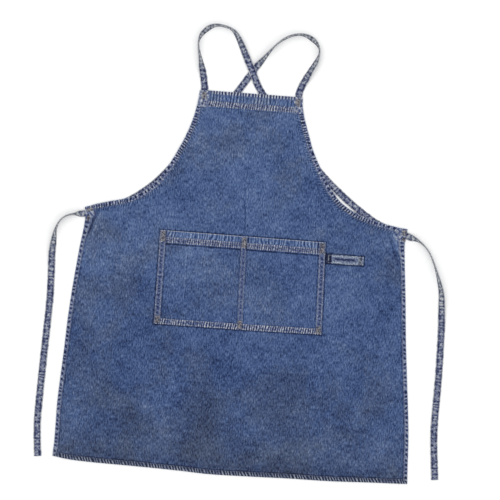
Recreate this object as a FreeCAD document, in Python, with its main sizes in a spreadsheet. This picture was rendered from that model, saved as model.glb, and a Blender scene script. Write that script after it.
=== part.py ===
import FreeCAD, Part
import math
import os

# Bib apron for an artist, laid flat on its back with the front face up.
# Millimetres, +Z up out of the front face, +Y towards the bib, +X to the right as seen from above.
# The origin is the middle of the cloth panel's outline, on the plane the apron lies on.
# "left" and "right" are as seen from above, looking at the front face.

V = FreeCAD.Vector
os.makedirs("parts", exist_ok=True)
doc = FreeCAD.newDocument("artist_apron")

# ---------------------------------------------------------------- driving dimensions
sheet = doc.addObject("Spreadsheet::Sheet", "Sizes")
SIZES = [
    ("cloth", 0.8),            # one layer of denim
    ("panel_base", 1.8),       # underside of the main panel, held up by the hems and straps below it
    ("fold_rise", 1.6),        # extra height of the turned armhole and bib hems
    ("armhole_hem", 11.0),     # width of the turned armhole hem
    ("bib_hem", 33.0),         # width of the deep hem across the top of the bib
    ("side_hem", 9.0),         # width of the side hems
    ("foot_hem", 10.0),        # width of the bottom hem
    ("strap_width", 15.0),     # shoulder straps and waist ties
    ("strap_thick", 1.6),
    ("fold_gap", 3.7),         # room beside the shoulder straps' fold line, so that they can lie right back
    ("swing_gap", 1.1),        # room beside the upright axis about which a tie swings
    ("fold_y", 391.2),         # line across which the shoulder straps fold over the bib
    ("thread_rise", 0.4),      # how far a line of stitching stands on the cloth
    ("thread_width", 1.2),
    ("tack_rise", 0.6),        # height of a bartack
    ("pocket_flange", 1.0),    # sewn-down margin of the pocket
    ("pocket_side", 14.0),     # width of the sewn margin at the sides and the bottom
    ("pocket_middle", 16.0),   # width of the sewn margin between the two pockets
    ("pocket_room", 4.6),      # clear height inside the puffed pockets
    ("pocket_skin", 0.8),
    ("pocket_hem", 26.0),      # turned hem along the pocket mouth
    ("tool_room", 4.8),        # clear height under the tool loop
    ("tool_width", 19.0),      # width of the tool loop's band
    ("tool_foot", 9.0),        # sewn-down length at each end of the tool loop
]
for row, (alias, value) in enumerate(SIZES, start=1):
    sheet.set("A%d" % row, alias)
    sheet.set("B%d" % row, str(value))
    sheet.setAlias("B%d" % row, alias)
doc.recompute()


def size(alias):
    return float(getattr(sheet, alias))


parts = []  # the objects that are written out, one node each


def finish(obj, label):
    obj.Label = label
    parts.append(obj)
    return obj


# ---------------------------------------------------------------- outline of the panel as it lies
TOP_LEFT, TOP_RIGHT = (-116.2, 382.4), (90.4, 382.4)
RIGHT_ARMHOLE = [TOP_RIGHT, (90.8, 365.4), (94.1, 345.6), (100.8, 324.0), (108.4, 302.5), (115.9, 282.0),
                 (123.2, 265.5), (132.5, 247.6), (145.0, 225.4), (162.2, 200.6), (183.0, 179.0), (207.2, 163.2),
                 (235.0, 152.2), (268.8, 143.9), (295.2, 138.9), (319.5, 135.5)]
RIGHT_SIDE = [(319.5, 135.5), (316.6, 107.5), (317.6, 69.5), (324.1, -6.2), (330.6, -85.9), (338.1, -165.6),
              (345.8, -245.2), (351.2, -294.9), (354.6, -334.8), (356.6, -373.2)]
FOOT = [(356.6, -373.2), (277.6, -374.9), (197.6, -377.0), (115.5, -379.2), (37.4, -381.2), (-38.7, -382.4),
        (-103.0, -381.6), (-187.4, -379.2), (-271.8, -376.2), (-320.1, -373.4), (-356.6, -369.2)]
LEFT_SIDE = [(-356.6, -369.2), (-355.6, -334.0), (-354.9, -293.9), (-353.6, -257.7), (-351.3, -207.3),
             (-348.6, -157.0), (-346.0, -100.7), (-342.4, -44.3), (-337.5, 4.3), (-332.3, 52.8), (-328.9, 83.2),
             (-327.5, 109.3), (-328.0, 131.7)]
LEFT_ARMHOLE = [(-328.0, 131.7), (-302.6, 140.4), (-279.1, 146.9), (-255.4, 152.8), (-233.0, 160.8),
                (-214.2, 171.4), (-196.4, 186.2), (-180.8, 205.4), (-166.4, 229.1), (-152.8, 255.8),
                (-140.8, 281.8), (-130.9, 307.6), (-123.6, 333.2), (-119.0, 357.6), (-116.2, 382.4)]


def smooth(points, step=9.0):
    """Points along a smooth line through the given points, about one step apart."""
    out = []
    last = len(points) - 1
    for i in range(last):
        p0 = points[max(i - 1, 0)]
        p1, p2 = points[i], points[i + 1]
        p3 = points[min(i + 2, last)]
        n = max(1, int(round(math.dist(p1, p2) / step)))
        for k in range(n):
            t = k / n
            out.append(tuple(
                0.5 * (2 * p1[a] + (p2[a] - p0[a]) * t
                       + (2 * p0[a] - 5 * p1[a] + 4 * p2[a] - p3[a]) * t * t
                       + (3 * p1[a] - p0[a] - 3 * p2[a] + p3[a]) * t ** 3) for a in (0, 1)))
    out.append(points[-1])
    return out


def offset(points, distance):
    """The line moved sideways to the right of its direction of travel."""
    out = []
    for i, p in enumerate(points):
        a = points[max(i - 1, 0)]
        b = points[min(i + 1, len(points) - 1)]
        dx, dy = b[0] - a[0], b[1] - a[1]
        n = math.hypot(dx, dy)
        out.append((p[0] + dy / n * distance, p[1] - dx / n * distance))
    return out


right_armhole = smooth(RIGHT_ARMHOLE)
right_side = smooth(RIGHT_SIDE, 24.0)
foot = smooth(FOOT, 24.0)
left_side = smooth(LEFT_SIDE, 24.0)
left_armhole = smooth(LEFT_ARMHOLE)
# Travel is clockwise seen from above, so the cloth lies to the right of every edge.


def add_sketch(body, name, polygon, base=None):
    """A closed outline on the body's own XY plane, raised to the height named in the sheet."""
    sketch = body.newObject("Sketcher::SketchObject", name)
    plane = [f for f in body.Origin.OriginFeatures if f.Role == "XY_Plane"][0]
    sketch.AttachmentSupport = [(plane, "")]
    sketch.MapMode = "FlatFace"
    for a, b in zip(polygon, polygon[1:] + polygon[:1]):
        sketch.addGeometry(Part.LineSegment(V(a[0], a[1], 0), V(b[0], b[1], 0)), False)
    if base:
        sketch.setExpression("AttachmentOffset.Base.z", base)
    return sketch


def add_pad(body, name, polygon, base, length):
    sketch = add_sketch(body, name + "_outline", polygon, base)
    pad = body.newObject("PartDesign::Pad", name)
    pad.Profile = sketch
    pad.setExpression("Length", length)
    doc.recompute()
    return pad


def band(line, d1, d2):
    """Closed outline of the strip between two sideways offsets of a line."""
    return offset(line, d1) + offset(line, d2)[::-1]


# ---------------------------------------------------------------- main panel, one cut of denim with its hems turned
panel = doc.addObject("PartDesign::Body", "body_panel")
outline = (right_armhole[:-1] + right_side[:-1] + foot[:-1] + left_side[:-1] + left_armhole)
add_pad(panel, "panel_sheet", outline, "Sizes.panel_base", "Sizes.cloth")
arm_w = size("armhole_hem")
# The deep hem across the bib's top and the armhole hems are one raised border.
in_l = offset(left_armhole, arm_w)
in_r = offset(right_armhole, arm_w)
bib_low = size("fold_y") - 8.8 - size("bib_hem")
in_l = [p for p in in_l if p[1] < bib_low - 2]
in_r = [p for p in in_r if p[1] < bib_low - 2]
border = (right_armhole + in_r[::-1]
          + [(in_r[0][0] - 0.6, bib_low), (in_l[-1][0] + 0.6, bib_low)]
          + in_l[::-1] + left_armhole)
add_pad(panel, "upper_hems", border, "Sizes.panel_base + Sizes.cloth", "Sizes.fold_rise")
# The side and bottom hems are turned to the back and carry the panel.
side_w, foot_w = size("side_hem"), size("foot_hem")
rs = [p for p in right_side if p[1] < 100.0]
ls = [p for p in left_side if p[1] < 100.0]
rs_in = [(p[0] - side_w, p[1]) for p in rs]
ls_in = [(p[0] + side_w, p[1]) for p in ls]
foot_in = [(p[0], p[1] + foot_w) for p in foot if ls_in[0][0] + 3 < p[0] < rs_in[-1][0] - 3]
corner_r = (rs_in[-1][0], foot_in[0][1])
corner_l = (ls_in[0][0], foot_in[-1][1])
rs_in = [p for p in rs_in if p[1] > corner_r[1] + 3]
ls_in = [p for p in ls_in if p[1] > corner_l[1] + 3]
lower = (rs + foot[1:-1] + ls + ls_in[::-1] + [corner_l] + foot_in[::-1] + [corner_r] + rs_in[::-1])
lower_pad = add_pad(panel, "lower_hems", lower, None, "Sizes.panel_base")
finish(panel, "body_panel")

# ---------------------------------------------------------------- double patch pocket, puffed so that each half is open at the top
P_TL, P_TR, P_BR, P_BC, P_BL = (-174.4, 97.0), (157.4, 96.4), (162.6, -88.0), (-1.5, -90.4), (-173.6, -90.9)
MID_TOP, MID_FOOT = (-4.6, 96.7), (-2.6, -90.4)
pocket = doc.addObject("PartDesign::Body", "pocket_panel")
add_pad(pocket, "sewn_margin", [P_TL, P_TR, P_BR, P_BC, P_BL], "Sizes.panel_base + Sizes.cloth", "Sizes.pocket_flange")
ps, pm = size("pocket_side"), size("pocket_middle") / 2
mouth = 96.6
low = -90.6 + ps
rooms = []
for a, b in (((P_TL[0] + ps, P_BL[0] + ps), (MID_TOP[0] - pm, MID_FOOT[0] - pm)),
             ((MID_TOP[0] + pm, MID_FOOT[0] + pm), (P_TR[0] - ps, P_BR[0] - ps))):
    rooms.append((a, b))
skin = size("pocket_skin")
for i, (a, b) in enumerate(rooms):
    up = mouth if i else mouth + 0.2
    add_pad(pocket, "puff_%d" % i, [(a[0], up - 0.05), (b[0], up - 0.25), (b[1], low), (a[1], low)],
            "Sizes.panel_base + Sizes.cloth + Sizes.pocket_flange",
            "Sizes.pocket_room + Sizes.pocket_skin - Sizes.pocket_flange")
hem_y = mouth - size("pocket_hem")
for i, (a, b) in enumerate(rooms):
    fall = (a[1] - a[0]) * size("pocket_hem") / (mouth - low)
    up = mouth if i else mouth + 0.2
    add_pad(pocket, "mouth_hem_%d" % i,
            [(a[0] + 0.6, up - 0.15), (b[0] - 0.6, up - 0.25), (b[0] + fall - 0.6, hem_y), (a[0] + fall + 0.6, hem_y)],
            "Sizes.panel_base + Sizes.cloth + Sizes.pocket_room + Sizes.pocket_skin", "Sizes.pocket_skin")
before = pocket.Shape.Volume
for i, (a, b) in enumerate(rooms):
    sk = add_sketch(pocket, "room_%d_outline" % i,
                    [(a[0] + 1, mouth + 6), (b[0] - 1, mouth + 6), (b[1] - 1, low + 1), (a[1] + 1, low + 1)],
                    "Sizes.panel_base + Sizes.cloth")
    cut = pocket.newObject("PartDesign::Pocket", "room_%d" % i)
    cut.Profile = sk
    cut.Reversed = True
    cut.setExpression("Length", "Sizes.pocket_room")
    doc.recompute()
print("pocket volume before and after its two rooms are hollowed:", round(before), round(pocket.Shape.Volume))
finish(pocket, "pocket_panel")

# ---------------------------------------------------------------- tool loop, a band sewn down at both ends
LOOP_X0, LOOP_X1, LOOP_Y = 162.0, 238.0, 64.5
tool = doc.addObject("PartDesign::Body", "tool_loop")
z0 = size("panel_base") + size("cloth")
zr, sk_t, tf = size("tool_room"), 1.2, size("tool_foot")
profile = [(LOOP_X0, z0), (LOOP_X0 + tf, z0), (LOOP_X0 + tf + 7, z0 + zr), (LOOP_X1 - tf - 7, z0 + zr),
           (LOOP_X1 - tf, z0), (LOOP_X1, z0), (LOOP_X1, z0 + sk_t), (LOOP_X1 - tf + 0.9, z0 + sk_t),
           (LOOP_X1 - tf - 6.4, z0 + zr + sk_t), (LOOP_X0 + tf + 6.4, z0 + zr + sk_t),
           (LOOP_X0 + tf - 0.9, z0 + sk_t), (LOOP_X0, z0 + sk_t)]
sketch = tool.newObject("Sketcher::SketchObject", "tool_loop_profile")
xz = [f for f in tool.Origin.OriginFeatures if f.Role == "XZ_Plane"][0]
sketch.AttachmentSupport = [(xz, "")]
sketch.MapMode = "FlatFace"
for a, b in zip(profile, profile[1:] + profile[:1]):
    sketch.addGeometry(Part.LineSegment(V(a[0], a[1], 0), V(b[0], b[1], 0)), False)
pad = tool.newObject("PartDesign::Pad", "tool_loop_band")
pad.Profile = sketch
pad.Midplane = True
pad.setExpression("Length", "Sizes.tool_width")
tool.Placement = FreeCAD.Placement(V(0, LOOP_Y, 0), FreeCAD.Rotation())
doc.recompute()
finish(tool, "tool_loop")

# ---------------------------------------------------------------- straps and ties
# A route is a list of (x, y, tilt, lift): tilt 0 is flat on its face and 90 is on edge, positive when the
# upper face looks to the right of the direction of travel; lift is the height of the strap's lowest edge.
LEFT_STRAP = [  # sewn at the bib's left corner, crosses on top, and runs behind the bib to the right side
    (-106.1, 354.6, 0, 0), (-106.0, 370.0, 0, 0), (-107.6, 391.5, 0, 0), (-112.6, 415.5, 4, 0),
    (-118.7, 441.2, 42, 0), (-125.0, 463.4, 75, 0), (-126.7, 478.7, 84, 0), (-123.1, 492.1, 64, 0),
    (-114.4, 502.7, 50, 0), (-104.2, 511.2, 58, 0), (-90.6, 515.2, 72, 0), (-75.7, 513.3, 78, 0),
    (-62.2, 508.4, 74, 0), (-51.2, 499.7, 52, 0), (-40.4, 484.9, 38, 0), (-29.4, 462.3, 14, 0.6),
    (-19.5, 438.7, 0, 2.6), (-9.2, 415.9, 0, 2.6), (-2.6, 403.4, 0, 0), (11.2, 382.6, 0, 0),
    (36.2, 352.0, 0, 0), (73.5, 307.6, 0, 0), (118.6, 252.2, 0, 0), (155.6, 215.3, 0, 0), (201.3, 177.8, 0, 0),
    (244.1, 148.1, 0, 0), (271.7, 134.7, 0, 0), (297.1, 126.2, 0, 0)]
RIGHT_STRAP = [  # sewn at the bib's right corner, crosses underneath, and runs behind the bib to the left side
    (83.3, 367.6, 0, 0), (81.1, 383.4, 0, 0), (83.1, 401.0, 0, 0), (90.5, 418.5, -10, 0), (99.2, 436.3, -18, 0),
    (109.1, 453.8, -36, 0), (115.4, 467.9, -64, 0), (117.0, 479.4, -82, 0), (112.2, 490.6, -68, 0),
    (101.8, 500.4, -52, 0), (89.4, 507.0, -58, 0), (74.1, 509.2, -74, 0), (56.7, 504.2, -76, 0),
    (42.8, 496.4, -80, 0), (28.0, 484.2, -86, 0), (15.5, 470.4, -62, 0), (3.6, 453.8, -34, 0),
    (-9.6, 433.6, 0, 0), (-24.2, 412.0, 0, 0), (-43.6, 384.0, 0, 0), (-76.0, 338.5, 0, 0), (-118.2, 281.0, 0, 0),
    (-161.4, 224.2, 0, 0), (-187.4, 193.7, 0, 0), (-207.5, 175.5, 0, 0), (-234.3, 155.0, 0, 0),
    (-271.0, 135.5, 0, 0), (-307.0, 124.2, 0, 0)]
LEFT_TIE = [
    (-317.0, 120.2, 0, 0), (-330.6, 119.0, 0, 0), (-345.0, 117.2, -56, 0), (-357.6, 114.4, -76, 0),
    (-369.8, 108.2, -90, 0), (-379.2, 96.0, -90, 0), (-383.9, 80.3, -70, 0), (-385.9, 63.5, -48, 0),
    (-386.9, 43.2, -30, 0), (-386.6, 18.3, -16, 0), (-384.8, -20.3, 0, 0), (-384.3, -67.7, 0, 0),
    (-386.6, -129.7, 0, 0), (-390.2, -192.2, 0, 0), (-392.6, -254.9, 0, 0), (-391.9, -315.0, 0, 0),
    (-385.2, -372.4, 0, 0)]
RIGHT_TIE = [
    (308.6, 125.9, 0, 0), (322.7, 121.6, 0, 0), (336.6, 116.3, 40, 0), (349.2, 109.2, 66, 0),
    (359.6, 99.8, 90, 0), (368.4, 87.0, 90, 0), (375.2, 73.0, 76, 0), (381.6, 57.0, 54, 0),
    (388.2, 38.4, 32, 0), (394.2, 14.4, 14, 0), (398.8, -19.2, 0, 0), (401.6, -64.2, 0, 0), (402.5, -112.0, 0, 0),
    (401.8, -164.9, 0, 0), (400.1, -217.0, 0, 0), (400.6, -269.8, 0, 0), (404.7, -317.5, 0, 0),
    (410.6, -360.7, 0, 0)]

half_w, half_t = size("strap_width") / 2, size("strap_thick") / 2


def centre_height(tilt, lift):
    a = math.radians(abs(tilt))
    return lift + half_w * math.sin(a) + half_t * math.cos(a)


def check_route(name, route):
    runs = [math.dist(a[:2], b[:2]) for a, b in zip(route, route[1:])]
    radii, turns = [], []
    for i in range(1, len(route) - 1):
        a = math.atan2(route[i][1] - route[i - 1][1], route[i][0] - route[i - 1][0])
        b = math.atan2(route[i + 1][1] - route[i][1], route[i + 1][0] - route[i][0])
        turn = abs((b - a + math.pi) % (2 * math.pi) - math.pi)
        turns.append(math.degrees(turn))
        radii.append(0.45 * min(runs[i - 1], runs[i]) / math.tan(max(turn, 1e-4) / 2))
    worst = max(max(a / b, b / a) for a, b in zip(runs, runs[1:]))
    print(name, "runs", [round(r) for r in runs], "radii", [round(r) for r in radii],
          "largest turn %.0f, smallest turn %.1f, run ratio %.2f" % (max(turns), min(turns), worst))


def stations(route):
    """(x, y, direction, tilt, lift) along straight runs joined by tangent arcs, each arc taking 0.45 of its shorter run."""
    runs = [math.dist(a[:2], b[:2]) for a, b in zip(route, route[1:])]

    def at(u):
        i = min(int(u), len(route) - 2)
        f = u - i
        f2 = f * f * (3 - 2 * f)
        a, b = route[i], route[i + 1]
        return a[2] + (b[2] - a[2]) * f2, a[3] + (b[3] - a[3]) * f2

    out = []
    for i in range(len(route)):
        x, y = route[i][0], route[i][1]
        if i in (0, len(route) - 1):
            j = 0 if i == 0 else len(route) - 2
            d = math.atan2(route[j + 1][1] - route[j][1], route[j + 1][0] - route[j][0])
            out.append((x, y, d) + at(float(i)) + (float(i),))
            continue
        d0 = math.atan2(y - route[i - 1][1], x - route[i - 1][0])
        d1 = math.atan2(route[i + 1][1] - y, route[i + 1][0] - x)
        turn = (d1 - d0 + math.pi) % (2 * math.pi) - math.pi
        back = 0.45 * min(runs[i - 1], runs[i])
        radius = back / math.tan(max(abs(turn), 1e-4) / 2)
        u0, u1 = i - back / runs[i - 1], i + back / runs[i]
        side = 1 if turn > 0 else -1
        sx, sy = x - back * math.cos(d0), y - back * math.sin(d0)
        cx, cy = sx - side * radius * math.sin(d0), sy + side * radius * math.cos(d0)
        n = max(2, int(math.ceil(abs(math.degrees(turn)) / 7.0)))
        for k in range(n + 1):
            d = d0 + turn * k / n
            out.append((cx + side * radius * math.sin(d), cy - side * radius * math.cos(d), d)
                       + at(u0 + (u1 - u0) * k / n) + (u0 + (u1 - u0) * k / n,))
    # long twisting runs get a few more sections
    full = [out[0]]
    for s in out[1:]:
        p = full[-1]
        gap = math.dist(p[:2], s[:2])
        n = 1
        if abs(s[3] - p[3]) > 6 or (abs(s[4] - p[4]) > 0.3):
            n = max(2, min(4, int(gap / 4) + 1))
        for k in range(1, n):
            u = p[5] + (s[5] - p[5]) * k / n
            f = k / n
            full.append((p[0] + (s[0] - p[0]) * f, p[1] + (s[1] - p[1]) * f,
                         p[2] + ((s[2] - p[2] + math.pi) % (2 * math.pi) - math.pi) * f) + at(u) + (u,))
        full.append(s)
    return full


def section(station):
    x, y, d, tilt, lift = station[:5]
    a = math.radians(tilt)
    # across: towards the right of travel, which dips when the upper face looks right
    rx, ry = math.sin(d), -math.cos(d)
    wide = V(rx * math.cos(a), ry * math.cos(a), -math.sin(a))
    thick = V(rx * math.sin(a), ry * math.sin(a), math.cos(a))
    c = V(x, y, centre_height(tilt, lift))
    p = [c + wide * (half_w * i) + thick * (half_t * j) for i, j in ((-1, -1), (1, -1), (1, 1), (-1, 1))]
    return Part.makePolygon(p + [p[0]])


def ribbon(name, route):
    check_route(name, route)
    st = stations(route)
    length = 0.0
    for a, b in zip(st, st[1:]):
        length += math.dist((a[0], a[1], centre_height(a[3], a[4])), (b[0], b[1], centre_height(b[3], b[4])))
    solid = Part.makeLoft([section(s) for s in st], True, True)
    expected = length * size("strap_width") * size("strap_thick")
    print("%s length %.0f volume %.0f of %.0f expected, valid %s" % (name, length, solid.Volume, expected, solid.isValid()))
    return solid


def feature(label, shape):
    obj = doc.addObject("Part::Feature", label)
    obj.Shape = shape
    obj.Placement = FreeCAD.Placement(V(0, 0, 0), FreeCAD.Rotation())
    return finish(obj, label)


fold_y, gap = size("fold_y"), size("fold_gap")
above = Part.makeBox(1200, 400, 60, V(-600, fold_y, -10))
below = Part.makeBox(1200, 1200, 60, V(-600, fold_y - gap - 1200, -10))
for side, route in (("left", LEFT_STRAP), ("right", RIGHT_STRAP)):
    whole = ribbon(side + "_strap", route)
    loop = whole.common(above)
    # The loop's two ends are rounded about the fold line, half way up the strap.
    slab = whole.common(Part.makeBox(1200, 0.02, 60, V(-600, fold_y, -10)))
    for cut in slab.Solids:
        b = cut.BoundBox
        loop = loop.fuse(Part.makeCylinder(half_t, b.XLength, V(b.XMin, fold_y, half_t), V(1, 0, 0)))
    rest = whole.common(below).Solids
    rest.sort(key=lambda s: s.CenterOfMass.y, reverse=True)
    print(side, "strap pieces", len(loop.Solids), len(rest))
    feature(side + "_strap_front_end", rest[0])
    feature(side + "_strap_loop", loop.Solids[0])
    feature(side + "_strap_back_run", rest[1])

# The ties swing where they stand on edge, half way along the run between these two points.
gap = size("swing_gap")
for side, route in (("left", LEFT_TIE), ("right", RIGHT_TIE)):
    whole = ribbon(side + "_tie", route)
    a, b = route[4], route[5]
    mx, my = (a[0] + b[0]) / 2, (a[1] + b[1]) / 2
    d = math.degrees(math.atan2(b[1] - a[1], b[0] - a[0]))
    print(side, "tie swings about x %.2f y %.2f" % (mx, my))
    turn = FreeCAD.Rotation(V(0, 0, 1), d)
    free_box = Part.makeBox(1000, 1200, 60, V(0, -600, -10))
    free_box.Placement = FreeCAD.Placement(V(mx, my, 0), turn)
    root_box = Part.makeBox(200, 200, 60, V(-200 - gap, -100, -10))
    root_box.Placement = FreeCAD.Placement(V(mx, my, 0), turn)
    root = whole.common(root_box)
    free = whole.common(free_box)
    free = free.fuse(Part.makeCylinder(half_t, 2 * half_w, V(mx, my, 0)))
    print(side, "tie pieces", len(root.Solids), len(free.Solids), round(root.Volume + free.Volume), round(whole.Volume))
    feature(side + "_tie_root", root.Solids[0])
    feature(side + "_tie_free", free.Solids[0])

# ---------------------------------------------------------------- stitching
tw, tr = size("thread_width"), size("thread_rise")


def stitch_line(line, inset, z):
    """A raised line of thread that follows an edge of the cloth, a set distance inside it."""
    poly = band(line, inset - tw / 2, inset + tw / 2)
    wire = Part.makePolygon([V(p[0], p[1], z) for p in poly + poly[:1]])
    return Part.Face(wire).extrude(V(0, 0, tr))


def straight(a, b, z):
    return stitch_line([a, b], 0.0, z)


z_hem = size("panel_base") + size("cloth") + size("fold_rise")
z_panel = size("panel_base") + size("cloth")
la = [p for p in left_armhole if p[1] < bib_low - 4 and p[0] > -306]
ra = [p for p in right_armhole if p[1] < bib_low - 4 and p[0] < 302]
feature("left_armhole_stitching", stitch_line(la, arm_w - 1.8, z_hem))
feature("right_armhole_stitching", stitch_line(ra, arm_w - 1.8, z_hem))
bx0, bx1 = -104.0, 79.5
feature("bib_hem_stitching", Part.makeCompound(
    [straight((bx0, bib_low + d), (bx1, bib_low + d), z_hem) for d in (1.6, 4.4, 7.2)]))
feature("bib_top_stitching", straight((-98.0, 379.4), (73.0, 379.4), z_hem))
feature("left_side_stitching", stitch_line([p for p in left_side if -358 < p[1] < 104], side_w - 1.6, z_panel))
feature("right_side_stitching", stitch_line([p for p in right_side if -358 < p[1] < 104], side_w - 1.6, z_panel))
feature("bottom_hem_stitching", stitch_line([p for p in foot if abs(p[0]) < 352], foot_w - 1.8, z_panel))

z_flange = z_panel + size("pocket_flange")
z_mouth = z_panel + size("pocket_room") + 2 * skin
rows = []
for d in (1.6, 11.4):
    rows.append(straight((P_BL[0] + d, P_BL[1] + 17.5), (P_TL[0] + d, P_TL[1] - 24), z_flange))
    rows.append(straight((P_TR[0] - d - 0.7, P_TR[1] - 26), (P_BR[0] - d, P_BR[1] + 19.5), z_flange))
feature("pocket_side_stitching", Part.makeCompound(rows))
feature("pocket_bottom_stitching", Part.makeCompound([
    straight((P_BL[0] + 15, P_BL[1] + d + 0.1), (MID_FOOT[0] - 10, P_BC[1] + d), z_flange) for d in (1.8, 10.6)] + [
    straight((MID_FOOT[0] + 10, P_BC[1] + d + 0.1), (P_BR[0] - 16, P_BR[1] - 0.3 + d), z_flange) for d in (1.8, 10.6)]))
feature("pocket_divider_stitching", Part.makeCompound([
    straight((MID_FOOT[0] + d, MID_FOOT[1] + 20), (MID_TOP[0] + d, MID_TOP[1] - 27), z_flange) for d in (-5.6, 5.6)]))
mouth_rows = []
for a, b in rooms:
    for d in (3.0, 7.0):
        mouth_rows.append(straight((a[0] + 2, hem_y + d), (b[0] - 2, hem_y + d), z_mouth))
feature("pocket_mouth_stitching", Part.makeCompound(mouth_rows))


# ---------------------------------------------------------------- bartacks, dense blocks of thread at the corners
def tack_group(label, tacks):
    """Each tack is (centre x, centre y, length, width, angle, height of the cloth under it)."""
    made = []
    for i, (x, y, length, width, angle, z) in enumerate(tacks):
        box = doc.addObject("Part::Box", "%s_%d" % (label, i))
        box.Length, box.Width = length, width
        box.setExpression("Height", "Sizes.tack_rise")
        rot = FreeCAD.Rotation(V(0, 0, 1), angle)
        corner = rot.multVec(V(-length / 2, -width / 2, 0))
        box.Placement = FreeCAD.Placement(V(x, y, z) + corner, rot)
        made.append(box)
    group = doc.addObject("Part::Compound", label)
    group.Links = made
    doc.recompute()
    return finish(group, label)


tack_group("strap_bartacks", [(-107.0, 372.0, 13, 12, 90, z_hem), (81.4, 371.6, 13, 12, 90, z_hem)])
tack_group("pocket_top_bartacks", [(-167.4, 85.0, 20, 11, 90, z_flange), (-4.7, 84.0, 20, 12, 90, z_flange),
                                   (150.9, 84.0, 20, 11, 90, z_flange)])
tack_group("pocket_bottom_bartacks", [(-166.9, -82.4, 14, 11, 90, z_flange), (-2.6, -80.8, 16, 12, 90, z_flange),
                                      (155.6, -79.8, 14, 11, 90, z_flange)])
tack_group("tool_loop_bartacks", [(232.8, LOOP_Y, 18, 3, 90, z_panel + sk_t), (167.0, LOOP_Y, 18, 3, 90, z_panel + sk_t)])
tack_group("side_corner_bartacks", [(-317.6, 129.0, 13, 6, 18, z_hem), (-319.6, 109.5, 11, 4, 84, z_panel),
                                    (312.6, 130.6, 10, 8, -7, z_hem), (312.4, 116.4, 11, 8, 86, z_panel)])

# ---------------------------------------------------------------- check and write
doc.recompute()
failed = [o.Name for o in doc.Objects if "Invalid" in o.State or "Error" in o.State]
if failed:
    raise RuntimeError("failed objects: %s" % failed)
for obj in parts:
    if obj.Shape.isNull() or not obj.Shape.isValid() or not obj.Shape.Solids:
        raise RuntimeError("bad shape: %s" % obj.Label)
for obj in parts:
    box = obj.Shape.BoundBox
    print("%-26s solids %2d faces %4d volume %9.0f  z %.2f to %.2f" % (
        obj.Label, len(obj.Shape.Solids), len(obj.Shape.Faces), obj.Shape.Volume, box.ZMin, box.ZMax))
    obj.Shape.exportStep("parts/%s.step" % obj.Label)
print(len(parts), "nodes")
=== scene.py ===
import math

import bpy
import numpy as np
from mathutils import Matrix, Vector
from mathutils.geometry import delaunay_2d_cdt
from mathutils.kdtree import KDTree


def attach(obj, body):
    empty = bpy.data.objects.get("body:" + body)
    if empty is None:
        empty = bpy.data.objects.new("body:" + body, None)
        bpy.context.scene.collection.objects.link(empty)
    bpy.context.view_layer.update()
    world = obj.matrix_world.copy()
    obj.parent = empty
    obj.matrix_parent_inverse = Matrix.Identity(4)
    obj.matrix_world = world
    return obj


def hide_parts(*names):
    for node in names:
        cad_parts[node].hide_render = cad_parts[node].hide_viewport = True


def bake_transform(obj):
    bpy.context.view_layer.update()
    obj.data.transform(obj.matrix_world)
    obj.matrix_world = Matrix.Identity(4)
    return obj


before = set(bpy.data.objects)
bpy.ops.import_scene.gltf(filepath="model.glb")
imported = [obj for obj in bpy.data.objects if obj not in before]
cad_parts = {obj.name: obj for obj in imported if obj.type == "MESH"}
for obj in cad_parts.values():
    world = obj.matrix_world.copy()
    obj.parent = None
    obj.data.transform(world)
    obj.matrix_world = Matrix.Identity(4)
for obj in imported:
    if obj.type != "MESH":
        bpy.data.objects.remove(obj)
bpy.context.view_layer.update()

# Lengths are in millimetres until a mesh is made, and the frame's own metres from there on.

# ------------------------------------------------------------------ camera, light and floor
scene = bpy.context.scene
scene.view_settings.view_transform = "Standard"

cam_data = bpy.data.cameras.new("camera")
cam_data.lens, cam_data.sensor_width = 100.0, 36.0
cam_data.clip_end = 50.0
cam = bpy.data.objects.new("camera", cam_data)
cam.location = (0.0075, 0.0703, 2.7798)
cam.rotation_euler = (0.0, 0.0, math.radians(4.3))
scene.collection.objects.link(cam)
scene.camera = cam

world = bpy.data.worlds.new("studio")
scene.world = world
world.use_nodes = True
world.node_tree.nodes["Background"].inputs[0].default_value = (1.0, 1.0, 1.0, 1)
world.node_tree.nodes["Background"].inputs[1].default_value = 0.72


def area_light(name, loc, aim, power, size, colour=(1, 1, 1)):
    data = bpy.data.lights.new(name, "AREA")
    data.energy, data.size, data.color = power, size, colour
    ob = bpy.data.objects.new(name, data)
    ob.location = loc
    ob.rotation_euler = (Vector(aim) - Vector(loc)).to_track_quat("-Z", "Y").to_euler()
    scene.collection.objects.link(ob)
    return ob


area_light("soft_top", (-0.7, 1.1, 2.4), (0.0, 0.05, 0.0), 22.0, 2.3)
area_light("soft_side", (1.6, -0.9, 2.2), (0.0, -0.1, 0.0), 12.0, 2.4)


def new_object(name, verts, faces, smooth=True):
    mesh = bpy.data.meshes.new(name)
    mesh.from_pydata(np.asarray(verts).tolist(), [], faces if isinstance(faces, list) else faces.tolist())
    mesh.update()
    if smooth:
        mesh.polygons.foreach_set("use_smooth", [True] * len(mesh.polygons))
    ob = bpy.data.objects.new(name, mesh)
    scene.collection.objects.link(ob)
    return ob


# ------------------------------------------------------------------ small helpers for smooth fields and lines
def smoothstep(a, b, x):
    t = np.clip((np.asarray(x, float) - a) / (b - a), 0, 1)
    return t * t * (3 - 2 * t)


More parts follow.
